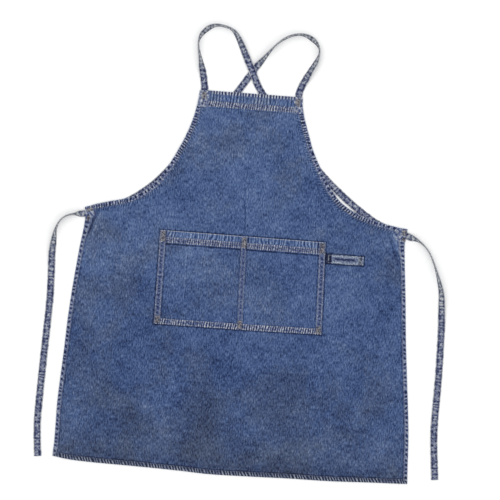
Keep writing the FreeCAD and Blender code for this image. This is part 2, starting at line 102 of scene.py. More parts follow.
class Field:
    """A smooth random surface, about -2 to 2, whose waves are lo to hi mm long."""

    def __init__(self, seed, lo, hi, n=26, stretch=(1.0, 1.0)):
        r = np.random.default_rng(seed)
        wl = lo * (hi / lo) ** r.random(n)
        a = r.random(n) * 2 * math.pi
        self.kx = 2 * math.pi / wl * np.cos(a) * stretch[0]
        self.ky = 2 * math.pi / wl * np.sin(a) * stretch[1]
        self.ph = r.random(n) * 2 * math.pi
        self.n = n

    def __call__(self, x, y):
        out = np.zeros(np.shape(x))
        for kx, ky, ph in zip(self.kx, self.ky, self.ph):
            out += np.sin(kx * x + ky * y + ph)
        return out * math.sqrt(2.0 / self.n)


class Wobble:
    """A smooth random line, about -2 to 2, whose waves are lo to hi mm long."""

    def __init__(self, seed, lo, hi, n=14):
        r = np.random.default_rng(seed)
        self.k = 2 * math.pi / (lo * (hi / lo) ** r.random(n))
        self.ph = r.random(n) * 2 * math.pi
        self.n = n

    def __call__(self, s):
        out = np.zeros(np.shape(s))
        for k, ph in zip(self.k, self.ph):
            out += np.sin(k * s + ph)
        return out * math.sqrt(2.0 / self.n)


def smooth_line(points, step):
    """Points along a smooth line through the given points, about one step apart."""
    p = np.array(points, float)
    out = []
    last = len(p) - 1
    for i in range(last):
        p0, p1, p2, p3 = p[max(i - 1, 0)], p[i], p[i + 1], p[min(i + 2, last)]
        n = max(1, int(round(np.linalg.norm(p2 - p1) / step)))
        for k in range(n):
            t = k / n
            out.append(0.5 * (2 * p1 + (p2 - p0) * t + (2 * p0 - 5 * p1 + 4 * p2 - p3) * t * t
                              + (3 * p1 - p0 - 3 * p2 + p3) * t ** 3))
    out.append(p[-1])
    return np.array(out)


def to_line(x, y, line):
    """Distance from each point to a line, and how far along the line the nearest place is."""
    P = np.stack([np.ravel(x), np.ravel(y)], 1).astype(float)
    L = np.linalg.norm(np.diff(line, axis=0), axis=1)
    cum = np.concatenate([[0], np.cumsum(L)])
    if len(line) > 8:
        tree = KDTree(len(line))
        for i, (a, b) in enumerate(line):
            tree.insert((a, b, 0.0), i)
        tree.balance()
        find = tree.find
        near = np.fromiter((find((a, b, 0.0))[1] for a, b in P.tolist()), int, len(P))
        tries = [np.clip(near - 1, 0, len(L) - 1), np.clip(near, 0, len(L) - 1)]
    else:
        tries = [np.full(len(P), k) for k in range(len(L))]
    best, s_out = np.full(len(P), 1e18), np.zeros(len(P))
    for k in tries:
        A, AB = line[k], line[k + 1] - line[k]
        rel = P - A
        t = np.clip((rel * AB).sum(1) / (L[k] ** 2), 0, 1)
        off = rel - t[:, None] * AB
        d2 = (off * off).sum(1)
        ok = d2 < best
        best = np.where(ok, d2, best)
        s_out = np.where(ok, cum[k] + t * L[k], s_out)
    return np.sqrt(best).reshape(np.shape(x)), s_out.reshape(np.shape(x))


def inside(x, y, poly):
    a, b = poly, np.roll(poly, -1, axis=0)
    out = np.zeros(len(x), bool)
    for (ax, ay), (bx, by) in zip(a, b):
        if ay == by:
            continue
        hit = ((ay > y) != (by > y)) & (x < (bx - ax) * (y - ay) / (by - ay) + ax)
        out ^= hit
    return out


def side_offset(line, d):
    """The line moved to the right of its travel."""
    t = np.gradient(line, axis=0)
    t /= np.linalg.norm(t, axis=1)[:, None]
    return line + np.stack([t[:, 1], -t[:, 0]], 1) * d


def resample(line, step):
    L = np.concatenate([[0], np.cumsum(np.linalg.norm(np.diff(line, axis=0), axis=1))])
    n = max(2, int(round(L[-1] / step)) + 1)
    s = np.linspace(0, L[-1], n)
    return np.stack([np.interp(s, L, line[:, i]) for i in range(line.shape[1])], 1), s


# ------------------------------------------------------------------ the routes of the straps and ties, as in the CAD
# (x, y, tilt, lift): tilt 0 lies flat and 90 stands on edge, positive when the upper face looks to the right
# of travel; lift is the height of the strap's lowest edge.
LEFT_STRAP = [
    (-106.1, 354.6, 0, 0), (-106.0, 370.0, 0, 0), (-107.6, 391.5, 0, 0), (-112.6, 415.5, 4, 0),
    (-119.3, 441.0, 58, 0), (-125.0, 463.4, 80, 0), (-126.7, 478.7, 86, 0), (-122.5, 491.8, 64, 0),
    (-113.8, 502.1, 50, 0), (-103.5, 509.9, 58, 0), (-90.5, 514.2, 78, 0), (-75.9, 512.3, 80, 0),
    (-62.2, 508.4, 81, 0), (-51.8, 499.2, 54, 0), (-42.5, 483.7, 38, 0), (-31.6, 461.3, 14, 0.6),
    (-20.2, 438.4, 0, 2.6), (-9.2, 415.9, 0, 2.6), (-3.6, 403.4, 0, 0), (9.2, 382.6, 0, 0),
    (36.2, 352.0, 0, 0), (73.5, 307.6, 0, 0), (118.6, 252.2, 0, 0), (155.6, 215.3, 0, 0), (201.3, 177.8, 0, 0),
    (244.1, 148.1, 0, 0), (271.7, 134.7, 0, 0), (297.1, 126.2, 0, 0)]
RIGHT_STRAP = [
    (83.3, 367.6, 0, 0), (81.1, 383.4, 0, 0), (84.5, 400.6, 0, 0), (92.5, 417.6, -10, 0),
    (101.2, 435.2, -40, 0), (111.1, 452.8, -44, 0), (116.0, 467.7, -77, 0), (117.0, 479.4, -87, 0),
    (111.6, 490.1, -71, 0), (101.1, 499.4, -52, 0), (88.9, 505.5, -68, 0), (74.2, 507.7, -83, 0),
    (57.1, 503.2, -80, 0), (43.4, 495.5, -80, 0), (28.8, 483.3, -90, 0), (17.4, 468.9, -75, 0),
    (5.6, 452.4, -56, 0), (-9.6, 433.6, 0, 0), (-22.6, 412.0, 0, 0), (-40.2, 384.0, 0, 0), (-74.4, 338.5, 0, 0),
    (-118.2, 281.0, 0, 0), (-161.4, 224.2, 0, 0), (-187.4, 193.7, 0, 0), (-207.5, 175.5, 0, 0),
    (-234.3, 155.0, 0, 0), (-271.0, 135.5, 0, 0), (-307.0, 124.2, 0, 0)]
LEFT_TIE = [
    (-317.0, 120.2, 0, 0), (-330.5, 118.0, 0, 0), (-344.9, 116.4, -72, 0), (-357.6, 114.4, -84, 0),
    (-369.8, 108.2, -90, 0), (-379.2, 96.0, -90, 0), (-383.9, 80.3, -77, 0), (-384.9, 63.4, -46, 0),
    (-386.9, 43.2, -22, 0), (-386.6, 18.3, -8, 0), (-384.8, -20.3, 0, 0), (-384.3, -67.7, 0, 0),
    (-386.6, -129.7, 0, 0), (-388.8, -192.3, 0, 0), (-390.6, -254.9, 0, 0), (-391.9, -315.0, 0, 0),
    (-385.2, -372.4, 0, 0)]
RIGHT_TIE = [
    (308.6, 125.9, 0, 0), (322.1, 119.9, 0, 0), (336.6, 116.3, 66, 0), (349.2, 109.2, 86, 0),
    (359.6, 99.8, 90, 0), (368.4, 87.0, 90, 0), (375.2, 73.0, 88, 0), (381.6, 57.0, 83, 0),
    (388.2, 38.4, 68, 0), (395.6, 14.7, 48, 0), (398.8, -19.2, 16, 0), (401.6, -64.2, 0, 0),
    (402.5, -112.0, 0, 0), (403.0, -164.9, 0, 0), (401.7, -217.0, 0, 0), (401.5, -269.8, 0, 0),
    (405.9, -317.4, 0, 0), (410.6, -360.7, 0, 0)]
STRAP_W, STRAP_T = 15.0, 1.6
HW, HT = STRAP_W / 2, STRAP_T / 2


def spline_points(rows):
    """The points of a smooth spline with these control points, as Blender itself evaluates it."""
    curve = bpy.data.curves.new("route", "CURVE")
    curve.dimensions = "3D"
    spline = curve.splines.new("NURBS")
    spline.points.add(len(rows) - 1)
    for p, row in zip(spline.points, rows):
        p.co = (row[0], row[1], row[2], 1.0)
    spline.order_u = 3
    spline.use_endpoint_u = True
    curve.resolution_u = 24
    ob = bpy.data.objects.new("route", curve)
    scene.collection.objects.link(ob)
    bpy.context.view_layer.update()
    mesh = bpy.data.meshes.new_from_object(ob)
    out = np.array([v.co for v in mesh.vertices])
    bpy.data.meshes.remove(mesh)
    bpy.data.objects.remove(ob)
    bpy.data.curves.remove(curve)
    return out


def route(rows):
    """Centre line in mm, tilt in degrees and lift, along the route's own spline."""
    def height(tilt, lift):
        a = math.radians(abs(tilt))
        return lift + HW * math.sin(a) + HT * math.cos(a)
    line = spline_points([(x / 1000, y / 1000, height(t, l) / 1000) for x, y, t, l in rows]) * 1000.0
    extra = spline_points([(t / 1000, l / 1000, 0.0) for x, y, t, l in rows]) * 1000.0
    return line, extra[:, 0], extra[:, 1]


ROUTES = {"left_strap": route(LEFT_STRAP), "right_strap": route(RIGHT_STRAP),
          "left_tie": route(LEFT_TIE), "right_tie": route(RIGHT_TIE)}

# ------------------------------------------------------------------ outline of the panel, as in the CAD
# with the cloth edge's own small waves, up to 3 mm
TOP_EDGE = [(-116.2, 382.4), (90.4, 382.4)]
RIGHT_ARMHOLE = [(90.4, 382.4), (90.9, 365.4), (95.5, 345.6), (102.2, 324.5), (109.7, 303.0), (116.8, 282.4),
                 (124.3, 266.0), (133.6, 248.3), (145.4, 225.7), (162.2, 200.6), (182.5, 178.5), (207.0, 162.9),
                 (234.9, 151.9), (268.6, 143.4), (295.0, 138.1), (319.0, 135.3)]
RIGHT_SIDE = [(319.0, 135.3), (315.2, 107.5), (318.0, 69.5), (325.3, -6.2), (332.0, -85.9), (340.3, -165.6),
              (348.7, -245.2), (352.6, -294.9), (354.2, -334.8), (356.3, -373.2)]
FOOT = [(356.3, -373.2), (277.6, -375.8), (197.6, -379.0), (115.5, -379.8), (37.4, -381.8), (-38.7, -383.0),
        (-103.0, -380.4), (-187.4, -378.2), (-271.8, -376.7), (-320.1, -374.6), (-355.8, -369.6)]
LEFT_SIDE = [(-355.8, -369.6), (-354.3, -334.0), (-354.4, -293.9), (-354.2, -257.7), (-351.6, -207.3),
             (-348.7, -157.0), (-346.3, -100.7), (-342.4, -44.3), (-337.9, 4.3), (-332.7, 52.8), (-328.4, 83.2),
             (-326.0, 109.3), (-328.0, 131.7)]
LEFT_ARMHOLE = [(-328.0, 131.7), (-302.6, 140.4), (-279.1, 146.9), (-255.4, 152.8), (-233.0, 160.8),
                (-214.2, 171.4), (-196.4, 186.2), (-180.8, 205.4), (-166.4, 229.1), (-152.8, 255.8),
                (-140.8, 281.8), (-130.9, 307.6), (-123.6, 333.2), (-119.0, 357.6), (-116.2, 382.4)]
EDGE_NAMES = ["top", "right_arm", "right_side", "foot", "left_side", "left_arm"]
LINES = {n: smooth_line(p, 2.2) for n, p in zip(
    EDGE_NAMES, [TOP_EDGE, RIGHT_ARMHOLE, RIGHT_SIDE, FOOT, LEFT_SIDE, LEFT_ARMHOLE])}
# width of the turned hem, how far it stands up, distance of its stitch lines from the edge
HEMS = {"top": (33.0, 1.15, (2.6, 22.2, 26.1, 30.0)), "right_arm": (11.0, 1.15, (9.2,)), "left_arm": (11.0, 1.15, (9.2,)),
        "right_side": (9.0, 0.5, (7.4,)), "left_side": (9.0, 0.5, (7.4,)), "foot": (10.0, 0.55, (8.2,))}
ROPE = {"top": (0.22, 6.0), "right_arm": (0.30, 7.0), "left_arm": (0.30, 7.0), "right_side": (0.26, 8.2),
        "left_side": (0.26, 8.2), "foot": (0.34, 6.2)}  # height and spacing of the puckers

swell = Field(11, 120, 300)
ripple = Field(12, 45, 110)
cockle = Field(13, 14, 34)
# soft creases left by folding: start, end, height, half-width
CREASES = [((-11.5, 200.0), (-4.7, 100.0), -0.55, 3.2), ((-0.4, -96.0), (-18.1, -178.0), -0.75, 3.0),
           ((-60.0, 300.0), (-75.0, 180.0), 0.5, 9.0), ((62.0, 330.0), (70.0, 190.0), 0.45, 8.0),
           ((-180.0, 150.0), (-260.0, 60.0), 0.55, 12.0), ((190.0, 140.0), (262.0, 66.0), 0.55, 12.0),
           ((-120.0, -130.0), (-150.0, -340.0), 0.6, 14.0), ((105.0, -120.0), (120.0, -330.0), 0.55, 15.0),
           ((-250.0, -60.0), (-290.0, -340.0), 0.5, 16.0), ((230.0, -40.0), (280.0, -330.0), 0.5, 16.0),
           ((0.0, -200.0), (-8.0, -350.0), 0.5, 13.0)]
UNDER = [smooth_line([r[:2] for r in part], 4.0) for part in (
    LEFT_STRAP[:3], LEFT_STRAP[18:], RIGHT_STRAP[:3], RIGHT_STRAP[18:], LEFT_TIE[:3], RIGHT_TIE[:3])]


def side_widening(y):
    """The side hems are wider near the ties."""
    return 1 + 0.75 * smoothstep(60.0, 128.0, y)


def panel_at(x, y, dist=None):
    """Height of the panel's front and back faces at each point."""
    x, y = np.asarray(x, float), np.asarray(y, float)
    if dist is None:
        dist = {n: to_line(x, y, LINES[n]) for n in EDGE_NAMES}
    dmin = np.min([dist[n][0] for n in EDGE_NAMES], axis=0)
    near = np.full(x.shape, 1e9)
    for line in UNDER:
        near = np.minimum(near, to_line(x, y, line)[0])
    over = 1 - smoothstep(9.0, 42.0, near)
    calm = smoothstep(6.0, 60.0, dmin)
    wave = 0.50 * swell(x, y) + 0.27 * ripple(x, y) * (0.4 + 0.6 * calm) + 0.05 * cockle(x, y)
    for a, b, h, w in CREASES:
        line = np.array([a, b], float)
        d, s = to_line(x, y, line)
        L = np.linalg.norm(line[1] - line[0])
        wave += h * np.exp(-(d / w) ** 2) * smoothstep(0, 0.25 * L, s) * smoothstep(L, 0.75 * L, s)
    wave *= (0.25 + 0.75 * calm) * (1 - 0.8 * over)
    low = 0.95 + np.maximum(wave, -0.75)          # back face away from straps and hems
    low = low + (1.74 - low) * over
    top = low + 0.85
    hem, foot_hem = np.zeros(x.shape), np.zeros(x.shape)
    detail = np.zeros(x.shape)
    for i, n in enumerate(EDGE_NAMES):
        d, s = dist[n]
        if n.endswith("side"):
            d = d / side_widening(y)
        w, rise, stitches = HEMS[n]
        up = 1 - smoothstep(w - 1.6, w + 1.0, d)
        hem = np.maximum(hem, rise * up)
        if n in ("right_side", "left_side", "foot"):
            foot_hem = np.maximum(foot_hem, up)
        for st in stitches:
            detail -= 0.30 * np.exp(-((d - st) / 0.85) ** 2)
        amp, gap = ROPE[n]
        phase = 2 * math.pi * (s + 0.55 * d) / gap + 1.9 * Wobble(40 + i, 18, 60)(s)
        wide = 1 + 0.45 * Wobble(50 + i, 25, 90)(s)
        band = smoothstep(0.0, 2.0, d) * (1 - smoothstep(stitches[0] - 1.5, stitches[0] + 0.6, d))
        detail += amp * np.clip(wide, 0.2, 1.8) * np.sin(phase) * band
        # puckers that run out into the cloth beyond the last stitch line
        last = stitches[-1]
        out = smoothstep(last, last + 1.5, d) * np.exp(-np.clip(d - last, 0, None) / 6.0)
        detail += 0.16 * np.sin(2 * math.pi * s / (gap * 1.15) + 2.2 * Wobble(60 + i, 14, 50)(s)) * out
        if n == "top":
            mid = smoothstep(3, 6, d) * (1 - smoothstep(22, 26, d))
            detail += 0.10 * np.sin(2 * math.pi * s / 9.0 + 2 * Wobble(70, 12, 40)(s) + 0.12 * d) * mid
            row = smoothstep(21, 22.5, d) * (1 - smoothstep(30.5, 32, d))
            detail += 0.16 * np.sin(2 * math.pi * (s + 0.8 * d) / 4.6 + 1.2 * Wobble(71, 10, 30)(s)) * row
    top = top + hem + detail
    back = np.where(foot_hem > 0.02, low * (1 - foot_hem) + 0.14 * foot_hem, low)
    back = np.maximum(back, 0.12)
    # rounded outer edge
    r = 1.15
    t = np.clip(1 - dmin / r, 0, 1)
    roll = r * (1 - np.sqrt(np.clip(1 - t * t, 0, 1)))
    mid = 0.5 * (top + back)
    top = np.maximum(top - roll * 0.75, mid + 0.12)
    back = np.where(dmin < r, np.minimum(back + roll * 0.55, mid - 0.12), back)
    return top, np.minimum(back, top - 0.5)


def thin_out(points, gap):
    """Drops each point that is closer than gap to one kept before it."""
    kept, cells = [], {}
    for p in points:
        cx, cy = int(p[0] // gap), int(p[1] // gap)
        ok = True
        for i in (-1, 0, 1):
            for j in (-1, 0, 1):
                for q in cells.get((cx + i, cy + j), ()):
                    if (q[0] - p[0]) ** 2 + (q[1] - p[1]) ** 2 < gap * gap:
                        ok = False
                        break
                if not ok:
                    break
            if not ok:
                break
        if ok:
            cells.setdefault((cx, cy), []).append(p)
            kept.append(p)
    return kept


def cut_cloth(name, lines, rings, grid, heights, fine=None):
    """A closed sheet of cloth over an outline given as its edges in clockwise order.
    heights(x, y) gives the front and back faces. Each corner keeps its distance along and from the nearest edge."""
    names = list(lines)
    loop = np.concatenate([lines[n][:-1] for n in names])
    pts = [tuple(p) for p in loop]
    n_loop = len(loop)
    cand = []
    for ring in rings:
        for n in names:
            line = side_offset(lines[n], ring)
            cand.append(np.concatenate([line, np.full((len(line), 1), ring)], 1))
    cand = np.concatenate(cand)
    lo, hi = loop.min(0), loop.max(0)
    gy = np.arange(lo[1], hi[1], grid * 0.866)
    rows = []
    for k, y in enumerate(gy):
        gx = np.arange(lo[0] + (grid / 2 if k % 2 else 0), hi[0], grid)
        rows.append(np.stack([gx, np.full(len(gx), y), np.full(len(gx), rings[-1] + grid * 0.7)], 1))
    if fine is not None:
        (x0, x1), (y0, y1), step = fine
        fx, fy = np.meshgrid(np.arange(x0, x1, step), np.arange(y0, y1, step))
        cand = np.concatenate([cand, np.stack([fx.ravel(), fy.ravel(), np.full(fx.size, rings[-1] * 0.6)], 1)])
    cand = np.concatenate([cand] + rows)
    d = np.min([to_line(cand[:, 0], cand[:, 1], lines[n])[0] for n in names], axis=0)
    ok = (d >= cand[:, 2] * 0.97 - 0.02) & inside(cand[:, 0], cand[:, 1], loop)
    cand = cand[ok]
    inner = thin_out([tuple(p) for p in cand[cand[:, 2] < 1.5][:, :2]], 0.42)
    inner = thin_out(inner + [tuple(p) for p in cand[cand[:, 2] >= 1.5][:, :2]], 0.42)
    far = [p for p in inner]
    pts = pts + far
    edges = [(i, (i + 1) % n_loop) for i in range(n_loop)]
    out = delaunay_2d_cdt([Vector(p) for p in pts], edges, [], 1, 1e-5)
    xy = np.array([v[:] for v in out[0]])
    tri = np.array([f for f in out[2]], int)
    a, b, c = xy[tri[:, 0]], xy[tri[:, 1]], xy[tri[:, 2]]
    area = (b[:, 0] - a[:, 0]) * (c[:, 1] - a[:, 1]) - (b[:, 1] - a[:, 1]) * (c[:, 0] - a[:, 0])
    tri = tri[np.abs(area) > 1e-4]
    area = area[np.abs(area) > 1e-4]
    tri[area < 0] = tri[area < 0][:, ::-1]
    used = np.unique(tri)
    remap = -np.ones(len(xy), int)
    remap[used] = np.arange(len(used))
    xy, tri = xy[used], remap[tri]
    dist = {n: to_line(xy[:, 0], xy[:, 1], lines[n]) for n in names}
    top, back = heights(xy[:, 0], xy[:, 1], dist)
    n = len(xy)
    verts = np.concatenate([np.column_stack([xy, top]), np.column_stack([xy, back])]) / 1000.0
    # the open rim of the front face
    e = np.concatenate([tri[:, [0, 1]], tri[:, [1, 2]], tri[:, [2, 0]]])
    key = {(int(p), int(q)) for p, q in e}
    rim = [(p, q) for p, q in key if (q, p) not in key]
    faces = tri.tolist() + (tri[:, ::-1] + n).tolist() + [[q, p, p + n, q + n] for p, q in rim]
    ob = new_object(name, verts, faces)
    # distance along and from the nearest edge, for the material
    D = np.stack([dist[k][0] for k in names], 1)
    S = np.stack([dist[k][1] for k in names], 1)
    side_of = np.zeros(len(faces), int)
    side_of[len(tri):2 * len(tri)] = 1
    ob.data.materials.append(None)
    ob.data.materials.append(None)
    ob.data.polygons.foreach_set("material_index", side_of.tolist())
    face_verts = [list(f) for f in faces]
    uv = ob.data.uv_layers.new(name="seam")
    which = ob.data.attributes.new("edge", "FLOAT", "FACE")
    coords, ids = [], []
    for f in face_verts:
        idx = [v % n for v in f]
        k = int(D[idx].mean(0).argmin())
        ids.append(float(k))
        for v in idx:
            coords.append(S[v, k] / 1000.0)
            coords.append(D[v, k] / 1000.0)
    uv.data.foreach_set("uv", coords)
    which.data.foreach_set("value", ids)
    return ob


# ------------------------------------------------------------------ materials
class Nodes:
    """Short names for building a node material."""

    def __init__(self, name):
        self.mat = bpy.data.materials.new(name)
        self.mat.use_nodes = True
        self.nt = self.mat.node_tree
        self.nt.nodes.clear()
        self.out = self.nt.nodes.new("ShaderNodeOutputMaterial")
        self.bsdf = self.nt.nodes.new("ShaderNodeBsdfPrincipled")
        self.nt.links.new(self.bsdf.outputs[0], self.out.inputs[0])

    def put(self, value, socket):
        if hasattr(value, "is_output"):
            self.nt.links.new(value, socket)
        else:
            socket.default_value = value

    def math(self, op, a, b=0.0, c=0.0, clamp=False):
        n = self.nt.nodes.new("ShaderNodeMath")
        n.operation, n.use_clamp = op, clamp
        self.put(a, n.inputs[0])
        self.put(b, n.inputs[1])
        if op in ("MULTIPLY_ADD", "SMOOTH_MIN", "SMOOTH_MAX", "COMPARE"):
            self.put(c, n.inputs[2])
        return n.outputs[0]

    def add(self, a, b): return self.math("ADD", a, b)
    def sub(self, a, b): return self.math("SUBTRACT", a, b)
    def mul(self, a, b): return self.math("MULTIPLY", a, b)

    def step(self, lo, hi, x):
        n = self.nt.nodes.new("ShaderNodeMapRange")
        n.interpolation_type = "SMOOTHSTEP"
        self.put(x, n.inputs[0])
        n.inputs[1].default_value, n.inputs[2].default_value = lo, hi
        n.inputs[3].default_value, n.inputs[4].default_value = 0.0, 1.0
        return n.outputs[0]

    def bump_at(self, x, centre, width):
        """1 at the centre, falling smoothly to 0 a width away on both sides."""
        d = self.math("ABSOLUTE", self.sub(x, centre))
        return self.sub(1.0, self.step(0.0, width, d))

    def split(self, v):
        n = self.nt.nodes.new("ShaderNodeSeparateXYZ")
        self.put(v, n.inputs[0])
        return n.outputs

    def vec(self, x, y, z=0.0):
        n = self.nt.nodes.new("ShaderNodeCombineXYZ")
        self.put(x, n.inputs[0]); self.put(y, n.inputs[1]); self.put(z, n.inputs[2])
        return n.outputs[0]

    def noise(self, v, scale=1.0, detail=2.0, rough=0.5, distortion=0.0):
        n = self.nt.nodes.new("ShaderNodeTexNoise")
        self.put(v, n.inputs["Vector"])
        n.inputs["Scale"].default_value = scale
        n.inputs["Detail"].default_value = detail
        n.inputs["Roughness"].default_value = rough
        n.inputs["Distortion"].default_value = distortion
        return n.outputs["Fac"]

    def mix(self, f, a, b, kind="MIX"):
        n = self.nt.nodes.new("ShaderNodeMix")
        n.data_type, n.blend_type = "RGBA", kind
        self.put(f, n.inputs[0])
        self.put(a if hasattr(a, "is_output") else (*a, 1.0), n.inputs[6])
        self.put(b if hasattr(b, "is_output") else (*b, 1.0), n.inputs[7])
        return n.outputs[2]

    def ramp(self, x, stops):
        n = self.nt.nodes.new("ShaderNodeValToRGB")
        self.put(x, n.inputs[0])
        cr = n.color_ramp
        while len(cr.elements) < len(stops):
            cr.elements.new(0.5)
        for e, (pos, col) in zip(cr.elements, stops):
            e.position, e.color = pos, (*col, 1.0)
        return n.outputs[0]

    def uv(self, name):
        n = self.nt.nodes.new("ShaderNodeUVMap")
        n.uv_map = name
        return n.outputs[0]

    def attr(self, name):
        n = self.nt.nodes.new("ShaderNodeAttribute")
        n.attribute_type, n.attribute_name = "GEOMETRY", name
        return n.outputs["Fac"]

    def obj(self):
        return self.nt.nodes.new("ShaderNodeTexCoord").outputs["Object"]

    def finish(self, colour, height, bump=0.6, distance=0.0004, rough=0.92):
        self.put(colour, self.bsdf.inputs["Base Color"])
        self.bsdf.inputs["Specular IOR Level"].default_value = 0.18
        self.bsdf.inputs["Sheen Weight"].default_value = 0.12
        self.bsdf.inputs["Sheen Roughness"].default_value = 0.5
        self.put(rough, self.bsdf.inputs["Roughness"])
        b = self.nt.nodes.new("ShaderNodeBump")
        b.inputs["Strength"].default_value = bump
        b.inputs["Distance"].default_value = distance
        self.put(height, b.inputs["Height"])
        self.nt.links.new(b.outputs[0], self.bsdf.inputs["Normal"])
        return self.mat


def srgb(r, g, b):
    """A colour given by its 0 to 255 screen values."""
    return tuple(((c / 255 + 0.055) / 1.055) ** 2.4 for c in (r, g, b))


DENIM = [(0.0, srgb(17, 29, 64)), (0.24, srgb(46, 66, 109)), (0.5, srgb(76, 98, 141)), (0.78, srgb(109, 129, 167)),
         (1.0, srgb(156, 167, 187))]
WORN = [(0.0, srgb(22, 27, 56)), (0.3, srgb(50, 61, 102)), (0.56, srgb(92, 104, 140)), (0.78, srgb(138, 146, 165)),
        (1.0, srgb(198, 202, 209))]
PLAIN = [(0.0, srgb(26, 30, 40)), (0.5, srgb(84, 92, 108)), (1.0, srgb(158, 162, 166))]
RUBBED = [(0.0, srgb(34, 38, 52)), (0.3, srgb(74, 80, 92)), (0.56, srgb(116, 121, 128)), (0.78, srgb(150, 154, 156)),
          (1.0, srgb(192, 194, 194))]
LOOP = [(0.0, srgb(18, 22, 52)), (0.3, srgb(56, 66, 102)), (0.6, srgb(112, 124, 150)), (0.82, srgb(150, 161, 178)),
        (1.0, srgb(184, 192, 200))]
REVERSE = [(0.0, srgb(48, 58, 86)), (0.35, srgb(102, 114, 142)), (0.6, srgb(140, 150, 172)), (1.0, srgb(192, 197, 206))]
STRAP = [(0.0, srgb(26, 30, 62)), (0.3, srgb(60, 68, 103)), (0.56, srgb(103, 111, 138)), (0.78, srgb(143, 148, 164)),
         (1.0, srgb(190, 192, 196))]
TAU = 2 * math.pi


def weave(n, x, y):
    """Twill lines, warp slubs, weft slubs and wash grain, each about 0 to 1."""
    jitter = n.noise(n.vec(n.mul(x, 260.0), n.mul(y, 120.0)), 1.0, 1.0)
    line = n.add(n.mul(x, 0.88 * TAU / 0.00092), n.mul(y, -0.47 * TAU / 0.00092))
    twill = n.math("MULTIPLY_ADD", n.math("SINE", n.add(line, n.mul(jitter, 7.0))), 0.5, 0.5)
    slub = n.noise(n.vec(n.mul(x, 640.0), n.mul(y, 72.0)), 1.0, 2.0, 0.6)
    weft = n.noise(n.vec(n.mul(x, 110.0), n.mul(y, 800.0)), 1.0, 1.0, 0.5)
    grain = n.noise(n.vec(n.mul(x, 420.0), n.mul(y, 165.0)), 1.0, 2.0, 0.55)
    return twill, slub, weft, grain


def ticks(n, s, d, period, slant=0.0, seed=0.0, wander=1.2):
    """-1 to 1 along a seam, a little uneven."""
    w = n.noise(n.vec(n.mul(s, 1 / (2.7 * period)), n.mul(d, 35.0), seed * 3.7 + 0.5), 1.0, 1.0)
    ph = n.add(n.mul(n.add(s, n.mul(d, slant)), TAU / period), n.mul(w, TAU * wander))
    return n.math("SINE", ph)


def patchy(n, s, length, seed):
    return n.step(0.30, 0.60, n.noise(n.vec(n.mul(s, 1 / length), seed * 1.9, 0.3), 1.0, 2.0))


def band(n, d, lo, hi, soft=0.0012):
    if lo <= 0:
        return n.sub(1.0, n.step(hi - soft, hi + soft, d))
    return n.mul(n.step(lo - soft, lo + soft, d), n.sub(1.0, n.step(hi - soft, hi + soft, d)))


def speckle(n, s, d, seed):
    """Grain of worn thread and cloth on a sewn band, about -0.5 to 0.5."""
    fine = n.noise(n.vec(n.mul(s, 330.0), n.mul(d, 300.0), seed * 1.3 + 0.2), 1.0, 1.0)
    return n.sub(n.step(0.34, 0.66, fine), 0.5)


